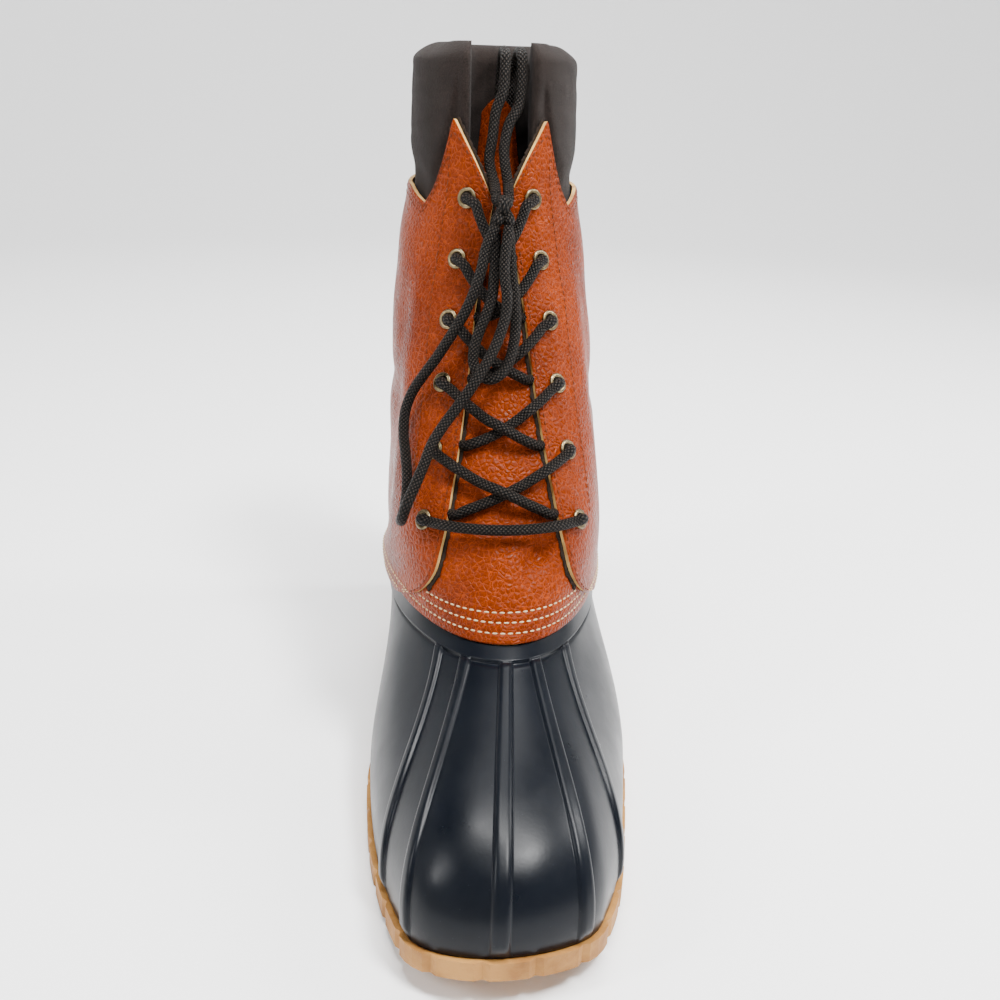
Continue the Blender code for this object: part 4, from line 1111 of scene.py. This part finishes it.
# Rows of stitches: above the lower edge, along the facings' feet, behind the
# facings' edges, behind the eyelets, and below the top edge
VAMP_SEAMS = (0.0034, 0.0068, 0.0100)
QUARTER_SEAMS = (0.0030, 0.0062)
FOOT_SEAMS = (0.0019, 0.0042)
FACING_SEAM = 0.0019
EYELET_SEAM = 0.0225
TOP_SEAMS = (0.0021, 0.0046)


def vamp_form(turn, height):
    """How far the vamp leaves its even form: a soft fold on the outer side
    under the bar, the swell beside it, slow waves, and a shallow channel
    along each row of stitches. All of it fades out under the quarters."""
    z = above_floor(height)
    side = wrap(turn)
    edge = facing_edge(height)
    free = 1 - ease((np.abs(side) - edge + 0.10) / 0.12)
    share = side / edge
    low = ease((height - 0.05) / 0.05) * (1 - ease((height - 0.52) / 0.1))
    fold = np.exp(-((share - 0.62) / 0.20) ** 2 - ((z - 0.1030 - 0.010 * (share - 0.6)) / 0.0042) ** 2)
    tail = np.exp(-((share - 0.34) / 0.10) ** 2 - ((z - 0.0975) / 0.0070) ** 2)
    swell = np.exp(-((share - 0.05) / 0.24) ** 2 - ((z - 0.0985) / 0.0060) ** 2)
    bend = np.exp(-((z - 0.121 + 0.002 * share) / 0.0028) ** 2) * np.exp(-((share + 0.1) / 0.6) ** 2)
    wave = 0.00035 * np.sin(side * 5 + z * 260) * np.sin(z * 190 - side * 3)
    soft = free * low * (wave - 0.0048 * fold - 0.0014 * tail + 0.0009 * swell - 0.0009 * bend)
    rise = height * SHAFT_RISE
    seams = sum(np.exp(-((rise - seam) / 0.0007) ** 2) for seam in VAMP_SEAMS)
    return soft - 0.00028 * seams * free


def vamp_face(turn, height):
    """The vamp's grain face."""
    return on_shaft(turn, height, tongue_lift(height) + LEATHER + vamp_form(turn, height))


def vamp_and_tongue():
    """One hide: the vamp across the front and the tongue that goes up from it."""
    across = np.linspace(-1, 1, 121)[None, :]
    top = float(level(TONGUE_TOP))
    low, middle = np.linspace(0, 0.06, 40)[:-1], np.linspace(0.06, top - 0.06, 110)
    rows = np.concatenate([low, middle, np.linspace(top - 0.054, top, 14)])[:, None]
    height = rows - 0.03 * np.abs(across) ** 3 * ease((rows - top + 0.054) / 0.054)
    turn = across * tongue_edge(np.broadcast_to(rows, height.shape))
    inner = on_shaft(turn, height, tongue_lift(height) + np.minimum(vamp_form(turn, height), 0))
    return hide_wall("vamp_and_tongue", vamp_face(turn, height), inner)


def top_edge(ways):
    """Height of the quarters' top edge, the table's corners rounded a little."""
    fine = np.linspace(-0.1, 1, 2201)
    line = np.interp(fine, column(TOP_EDGE, 0), column(TOP_EDGE, 1))
    kernel = np.exp(-(np.arange(-30, 31) / 10.0) ** 2)
    padded = np.pad(line, 30, mode="edge")
    round_line = np.convolve(padded, kernel / kernel.sum(), mode="valid")
    return level(HEIGHT * np.interp(ways, fine, round_line))


def quarter_turn(side, ways, height):
    """Angle at a share of the way from the facing's edge to the back."""
    edge = facing_edge(height)
    return side * (edge + (math.pi - edge) * ways)


DEEPEST_DENT = -0.0006    # how far the shaft's grain face may go inwards


def shaft_waves(turn, height):
    """Soft hollows of worn hide: slow waves, two folds round the ankle, and
    the foot drawn in a little."""
    z = above_floor(height)
    side = wrap(turn)
    low = ease(height / 0.08) * (1 - ease((height - 0.62) / 0.12))
    back = ease((np.abs(side) - facing_edge(height) - 0.5) / 0.5)
    folds = np.exp(-((z - 0.132 - 0.012 * np.abs(side)) / 0.006) ** 2)
    folds = folds + 0.8 * np.exp(-((z - 0.158 + 0.006 * np.abs(side)) / 0.007) ** 2)
    slow = np.sin(side * 3.1 + z * 70) * np.sin(z * 95 + side * 1.7)
    foot = 1 - ease((height - 0.02) / 0.10)
    form = low * back * (0.0006 + 0.0005 * slow - 0.0009 * folds) - 0.0006 * foot
    return np.maximum(form, DEEPEST_DENT)


def hide_face(turn, height):
    """The shaft's grain face."""
    return on_shaft(turn, height, leather_lift(turn, height) + LEATHER + shaft_waves(turn, height))


def quarters():
    """The shaft: both sides run back from their facing's edge and meet at the
    heel. Rows are even up to the ears' foot and follow the top edge above."""
    ways = np.linspace(0, 1, 151) ** 1.15
    way = np.concatenate([ways[:-1], ways[::-1]])[None, :]
    side = np.concatenate([-np.ones(150), np.ones(151)])[None, :]
    top = top_edge(way)
    base = 0.60
    low = np.linspace(0, base, 74)[:, None] * np.ones_like(way)
    high = base + (top - base) * np.linspace(0, 1, 42)[1:, None]
    height = np.concatenate([low, high])
    turn = quarter_turn(side, way, height)
    inner = on_shaft(turn, height, leather_lift(turn, height))
    return hide_wall("quarters_hide", hide_face(turn, height), inner)


def facing_lining():
    """A thin dark strip under each facing and ear, whose ragged edge shows
    past the cut edge. It is a band square to the front edge, which runs up
    the facing and then up the ear, laid out flat and put on the shaft."""
    meshes = []
    for side in (-1, 1):
        low = np.linspace(0.055, float(top_edge(0.0)) - 0.012, 120)
        way = np.linspace(0.006, 0.172, 60)
        height = np.concatenate([low, top_edge(way)])
        turn = np.concatenate([facing_edge(low), quarter_turn(1, way, top_edge(way))])
        radius = round_speed(shaft_form, turn, height)
        flat_x = np.concatenate([[0], np.cumsum(np.diff(turn) * (radius[1:] + radius[:-1]) / 2)])
        along = unit(np.stack([np.gradient(flat_x), np.gradient(height * SHAFT_RISE)], axis=-1))
        kernel = np.exp(-(np.arange(-9, 10) / 4.0) ** 2)
        for k in (0, 1):
            line = np.pad(along[:, k], 9, mode="edge")
            along[:, k] = np.convolve(line, kernel / kernel.sum(), mode="valid")
        along = unit(along)
        past = np.stack([-along[:, 1], along[:, 0]], axis=-1)
        reach = np.linspace(-0.0060, 0.0014, 9)[None, :]
        steps = np.arange(len(height))[:, None]
        ragged = 0.00022 * (np.sin(steps * 2.3) + np.sin(steps * 1.1 + 1)) * (reach > 0.0006)
        turns = turn[:, None] + past[:, :1] * (reach + ragged) / radius[:, None]
        heights = height[:, None] + past[:, 1:] * (reach + ragged) / SHAFT_RISE
        turns = np.maximum(turns, 0.004)
        lift = leather_lift(turns, heights)
        upper = on_shaft(side * turns, heights, lift - 0.0001)
        lower = on_shaft(side * turns, heights, lift - 0.0005)
        meshes.append(sheet_arrays(upper, lower))
    made = joined("facing_lining", meshes)
    face_out(made)
    return made


def sheet_arrays(upper, lower):
    """Two matching grids closed round their border."""
    quads = np.concatenate(sheet_quads(*upper.shape[:2]))
    return np.concatenate([upper.reshape(-1, 3), lower.reshape(-1, 3)]), quads


def collar_pad():
    """A padded roll round the opening: a half-round top, plump sides, ends
    rounded into the throat, and small puckers along the hidden hem."""
    radius = COLLAR_THICK / 2
    middle = HEIGHT - radius
    roll = middle + radius * np.sin(np.linspace(0.08, 1.5, 18))
    z = np.concatenate([np.linspace(COLLAR_FOOT, middle, 46), roll])
    height = level(z)
    start = turn_at(np.full_like(height, 2 * COLLAR_SPLIT / SHAFT_WIDTH), height)[:, None]
    steps = np.concatenate([0.12 * np.linspace(0, 1, 26) ** 1.5, np.linspace(0.128, 1, 95)])
    ends = np.concatenate([steps[:-1], steps[::-1]])[None, :]
    half = start + (math.pi - start) * steps[None, :]
    turn = np.concatenate([-half[:, :-1], half[:, ::-1]], axis=1)
    tall = np.broadcast_to(height[:, None], turn.shape)
    thick = collar_thick(tall)
    over = np.clip((z - middle) / radius, 0, 1)[:, None]
    pinch = radius * (1 - np.sqrt(np.maximum(1 - over ** 2, 0)))
    near = np.clip(1 - ends / 0.052, 0, 1)
    tuck = 0.40 * (thick - 2 * pinch) * (1 - np.sqrt(np.maximum(1 - near ** 2, 0)))
    puff = 0.00035 * np.sin(turn * 9 + z[:, None] * 300) * np.sin(z[:, None] * 210 - turn * 4)
    into = -outward(shaft_form, turn, tall)
    straight = (1 - ease((ends - 0.04) / 0.24))[..., None]
    into = unit(into * (1 - straight) + np.array((0.0, 1.0, 0.0)) * straight)
    face = on_shaft(turn, tall, np.full_like(turn, -0.0004))
    edge = facing_edge(tall)
    way = np.clip((np.abs(wrap(turn)) - edge) / (math.pi - edge), 0, 1)
    clear = z[:, None] - above_floor(top_edge(way))
    plump = 0.0026 * ease((clear - 0.002) / 0.016) * ease((HEIGHT - z[:, None]) / 0.007)
    plump = plump * ease((way - 0.01) / 0.22)
    outer = face + into * (pinch + tuck + 0.0002 + np.maximum(puff, -0.0001) - plump)[..., None]
    inner = face + into * (thick - pinch - tuck + puff)[..., None]
    made = joined("collar_pad", [sheet_arrays(outer, inner)])
    face_out(made)
    return made


def brass_eyelet(name, side, row):
    """Turned about the hole's axis: barrel, flat flange with a rolled rim and
    a dome falling to the hole."""
    centre, axis, across, up = eyelet_place(side, row)
    dome = np.linspace(0, math.pi, 13)
    mid = (EYELET_OUTER + EYELET_HOLE) / 2
    wide = (EYELET_OUTER - EYELET_HOLE) / 2
    radius = np.concatenate([[EYELET_HOLE, EYELET_BARREL, EYELET_BARREL], mid + wide * np.cos(dome)])
    rim = 0.00045
    rolled = rim + (EYELET_RISE - rim) * np.sin(dome) ** 0.8
    rise = np.concatenate([[-0.0018, -0.0018, 0.00035], rolled])
    angle = 2 * math.pi * np.arange(EYELET_SIDES) / EYELET_SIDES
    ring = across * np.cos(angle)[:, None] + up * np.sin(angle)[:, None]
    grid = centre + axis * rise[:, None, None] + ring[None] * radius[:, None, None]
    rows = len(radius)
    number = np.arange(rows * EYELET_SIDES).reshape(rows, EYELET_SIDES)
    quads = np.concatenate([quads_of(*number.shape, 0, True), tie(number[-1], number[0], True)])
    made = link(name, raw_mesh(name, grid, quads))
    face_out(made)
    return made


def bead_row(spots, normals, length, width, rise):
    """Stitches as flattened capsules: each runs from one spot towards the
    next, domed along and across, and sinks in at both ends."""
    step = spots[1:] - spots[:-1]
    ahead = unit(step)
    normal = unit(normals[:-1] + normals[1:])
    across = unit(np.cross(normal, ahead))
    middle = (spots[:-1] + spots[1:]) / 2
    rings, sides = 7, 6
    along = np.linspace(-1, 1, rings)
    plump = np.sqrt(np.clip(1 - (along * 0.985) ** 2, 0, 1))
    angle = 2 * math.pi * np.arange(sides) / sides
    verts = (
        middle[:, None, None] + ahead[:, None, None] * (along * length / 2)[None, :, None, None]
        + across[:, None, None] * (np.cos(angle)[None, :] * plump[:, None] * width / 2)[None, ..., None]
        + normal[:, None, None] * ((np.sin(angle)[None, :] * plump[:, None] * rise)
                                   - rise * 0.55 * np.abs(along[:, None]) ** 3)[None, ..., None])
    starts = np.arange(len(middle)) * rings * sides
    quads = (quads_of(rings, sides, 0, True)[None] + starts[:, None, None]).reshape(-1, 4)
    return verts.reshape(-1, 3), quads


# Stitches: pitch, length, width, rise
CREAM_STITCH = (0.0030, 0.0024, 0.00075, 0.00042)
VAMP_STITCH = (0.0030, 0.0024, 0.00080, 0.00040)
RUSSET_STITCH = (0.0032, 0.0025, 0.00070, 0.00030)


def stitch_row(face, turn, height, pitch, length, width, rise):
    """Even stitches along a line on a surface, given as angles and heights."""
    line = face(turn, height)
    run = run_along(line)
    count = max(int(run[-1] / pitch), 2)
    marks = np.linspace(0, run[-1], count + 1)
    turns = np.interp(marks, run, turn)
    heights = np.interp(marks, run, height)
    return bead_row(face(turns, heights), outward(face, turns, heights), length, width, rise)


def arc_back(heights, distance):
    """Angles of a line that keeps its distance behind the facing's edge."""
    return np.array([behind_edge(height, distance) for height in heights])


def lower_seams():
    """Cream rows: three across the vamp's front, two round the quarters, and
    two short ones along each facing's foot."""
    rows = []
    for side in (-1, 1):
        for rise in QUARTER_SEAMS:
            way = np.linspace(0.03, 1.0, 120)
            height = np.full_like(way, rise / SHAFT_RISE)
            rows.append(stitch_row(hide_face, quarter_turn(side, way, height), height, *CREAM_STITCH))
    for rise in VAMP_SEAMS:
        height = np.full(60, rise / SHAFT_RISE)
        edge = float(facing_edge(rise / SHAFT_RISE)) - 0.02
        turn = np.linspace(-edge, edge, 60)
        rows.append(stitch_row(vamp_face, turn, height, *VAMP_STITCH))
    for side in (-1, 1):
        for back in FOOT_SEAMS:
            height = np.linspace(0.0150 + back, 0.0290, 16)
            rows.append(stitch_row(hide_face, side * arc_back(height, back), height, *CREAM_STITCH))
    return joined("lower_seams", rows)


def shaft_seams():
    """Tone on tone: one row along each facing and ear, a second behind the
    eyelets, and a double row down the ear's rear edge and round the top."""
    rows = []
    for side in (-1, 1):
        for low, high, back in ((0.030, 0.632, FACING_SEAM), (0.16, 0.80, EYELET_SEAM)):
            height = np.linspace(low, high, 60)
            turn = side * arc_back(height, back)
            rows.append(stitch_row(hide_face, turn, height, *RUSSET_STITCH))
        way = np.linspace(0.015, 1.0, 180)
        steep = 1 + 1.3 * np.exp(-((way - 0.176) / 0.03) ** 2)
        height = top_edge(way) - TOP_SEAMS[0] / SHAFT_RISE * steep
        rows.append(stitch_row(hide_face, quarter_turn(side, way, height), height, *RUSSET_STITCH))
        keep = way > 0.19
        height = (top_edge(way) - TOP_SEAMS[1] / SHAFT_RISE * steep)[keep]
        turn = quarter_turn(side, way[keep], height)
        rows.append(stitch_row(hide_face, turn, height, *RUSSET_STITCH))
    return joined("shaft_seams", rows)


def strand_path(side, row, raised):
    """One lace strand: out of the lower hole from inside, under the facing's
    edge, over the tongue and the other facing, and down into the next hole."""
    low = eyelet_level(row)
    high = eyelet_level(row + 1)
    speed = SHAFT_WIDTH / 2
    first = low + (high - low) * (0.18 - 0.03 * row)
    opening = float(lookup(FACINGS, 1, first)) * SHAFT_WIDTH / 2
    begin = float(turn_at((opening - LACE * 0.62) * 2 / SHAFT_WIDTH, first))
    stop = eyelet_turn(high, LACE_STOP)
    last = high - (high - low) * 0.10
    part = np.linspace(0, 1, 11)
    turn = -begin + (stop + begin) * part
    height = first + (last - first) * part ** (1 + 0.28 * row)
    near = (np.abs(turn) - facing_edge(height)) * speed * 0.8
    climb = ease((near + 0.0075) / 0.0045) * ease(turn * speed / 0.002 + 0.5)
    lift = LACE_ON_TONGUE + (LACE_ON_SHAFT - LACE_ON_TONGUE) * climb
    if raised:
        hump = LACE * 0.80 * np.exp(-((turn * speed * 0.8) / 0.0055) ** 2)
        lift = np.maximum(lift, LACE_ON_TONGUE + hump)
    lift[0] = LACE_ON_TONGUE - 0.0012
    path = on_shaft(side * turn, height, lift)
    under = eyelet_turn(low)
    brink = float(facing_edge(first))
    back = np.array([under, under * 0.5 + brink * 0.5, brink + 0.01])
    tall = np.array([low, low * 0.5 + first * 0.5, first])
    hidden = on_shaft(-side * back, tall, leather_lift(back, tall) + LEATHER - LACE / 2 - 0.0003)
    dive = into_eyelet(side, row + 1, path[-1])
    return even_path(np.concatenate([hidden, path, dive]), LACE_STEP)


def into_eyelet(side, row, near):
    """A lace's last stretch: over the flange, then down through the hole."""
    centre, axis = eyelet_place(side, row)[:2]
    towards = near - centre
    towards = unit(towards - axis * np.dot(towards, axis))
    return np.array([
        centre + towards * 0.0034 + axis * 0.0036, centre + towards * 0.0013 + axis * 0.0030,
        centre + axis * 0.0006, centre - axis * 0.0030])


def bar_path():
    """The straight lace across the lowest pair of eyelets."""
    height = eyelet_level(0)
    stop = eyelet_turn(height, LACE_STOP)
    turn = np.linspace(-stop, stop, 9)
    path = on_shaft(turn, np.full_like(turn, height), np.full_like(turn, LACE_ON_SHAFT))
    first, last = into_eyelet(-1, 0, path[0]), into_eyelet(1, 0, path[-1])
    return even_path(np.concatenate([first[::-1], path, last]), LACE_STEP)


def knot_paths():
    """A turn and a half of lace round the bundle, leaning a little, and the
    short legs that join it to the two loops and the two ends."""
    part = np.linspace(-0.1, 1.5, 60)
    angle = 2 * math.pi * part
    x = 0.0012 * (part - 0.7) * 2 + 0.0006 * np.sin(angle * 0.5)
    y = 0.0031 * np.cos(angle)
    z = 0.0022 * np.sin(angle)
    lean = 0.35
    path = points(x * math.cos(lean) + z * math.sin(lean), y, z * math.cos(lean) - x * math.sin(lean))
    middle = np.array(KNOT_PLACE)
    paths = [even_path(path + middle, LACE_STEP)]
    for route in (LOOP_LEFT, LOOP_RIGHT, END_LEFT, END_RIGHT):
        ends = (0, -1) if route in (LOOP_LEFT, LOOP_RIGHT) else (0,)
        for end in ends:
            tip, near = np.array(route[end]), np.array(route[end + (1 if end == 0 else -1)])
            run = unit(tip - near)
            legs = [tip - run * 0.0012, tip + run * 0.0015, (tip + middle) / 2 + run * 0.0006, middle]
            paths.append(even_path(legs, LACE_STEP))
    return paths


photo_camera()
# the first colour is the painted highlight on the lace's bead tops, the second is the cord's own
# near-black
lace = braid_cord("lace_braid_painted_highlight", (0.034, 0.0265, 0.0215), (0.0003, 0.0003, 0.0002))
loops = (
    ("bow_loop_left", "lace_loop_left", LOOP_LEFT, "knot"),
    ("bow_loop_right", "lace_loop_right", LOOP_RIGHT, "knot"),
    ("lace_tail_left", "lace_end_left", END_LEFT, "object"),
    ("lace_tail_right", "lace_end_right", END_RIGHT, "object"),
)
for name, node, route, far in loops:
    path = even_path(route, 0.0009)
    cord = cord_object(name, [path])
    dress(cord, lace)
    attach(cord, "root")
    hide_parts(node)

studio()


def place(made, slot, *nodes):
    """Rides the piece on the boot and lets it stand for its solids."""
    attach(made, "root")
    if nodes:
        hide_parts(*nodes)
    return made


rubber = moulded_rubber("navy_rubber_satin", (0.0009, 0.0017, 0.0034), (0.0016, 0.0027, 0.0052))
grain = pebbled_leather("russet_leather", (0.168, 0.0215, 0.0003), (0.047, 0.0044, 0.0001))
edge = cut_edge("cut_leather_edge", (0.62, 0.40, 0.13), (0.32, 0.15, 0.04))
nap = napped("leather_back", (0.20, 0.105, 0.06), (0.09, 0.045, 0.025), 900.0, 0.7, 0.0005, 0.04)
cloth = foam_cloth("taupe_foam_cloth", (0.020, 0.0128, 0.0102), (0.0042, 0.0027, 0.0021))
brass = old_brass("antique_brass")
cream = thread("cream_thread", (0.60, 0.46, 0.28), (0.34, 0.22, 0.11))
russet = thread("russet_thread", (0.105, 0.019, 0.0022), (0.030, 0.0050, 0.0007))
felt = napped("dark_lining_felt", (0.030, 0.020, 0.014), (0.008, 0.0055, 0.004), 800.0, 0.5, 0.0004)
sole_gum = gum_edge("tan_gum", (0.40, 0.195, 0.050), (0.19, 0.076, 0.016))
sheet = napped("insole_felt", (0.26, 0.22, 0.18), (0.15, 0.12, 0.10), 800.0, 0.5, 0.0004)

bottom = place(rubber_bottom(), "navy_rubber", "rubber_shell")
dress(bottom, rubber)
vamp = place(vamp_and_tongue(), "brown_leather", "tongue")
shaft = place(quarters(), "brown_leather", "quarters")
for hide in (vamp, shaft):
    face_out(hide)
    for slot, finish in enumerate((grain, edge, nap)):
        hide.data.materials[slot] = finish
lining = place(facing_lining(), "insole_sheet")
dress(lining, felt)
pad = place(collar_pad(), "collar_cloth", "collar")
dress(pad, cloth)
for side, word in ((-1, "inner"), (1, "outer")):
    for row in range(EYELETS_PER_SIDE):
        name = "brass_eyelet_%s_%d" % (word, row + 1)
        ring = place(brass_eyelet(name, side, row), "eyelet_brass", "eyelet_%s_%d" % (word, row + 1))
        dress(ring, brass)
bar = place(cord_object("bar_lace", [bar_path()]), "lace_cord", "lace_bar")
dress(bar, lace)
for row in range(EYELETS_PER_SIDE - 1):
    paths = [strand_path(1, row, False), strand_path(-1, row, True)]
    number = row + 1
    cross = place(cord_object("crossing_%d" % number, paths), "lace_cord", "lace_cross_%d" % number)
    dress(cross, lace)
knot = place(cord_object("bow_knot", knot_paths()), "lace_cord", "lace_knot")
dress(knot, lace)
dress(place(lower_seams(), "brown_leather"), cream)
dress(place(shaft_seams(), "brown_leather"), russet)
for node, finish in (("outsole", sole_gum), ("insole", sheet)):
    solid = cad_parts[node]
    for slot in solid.material_slots:
        slot.material = finish
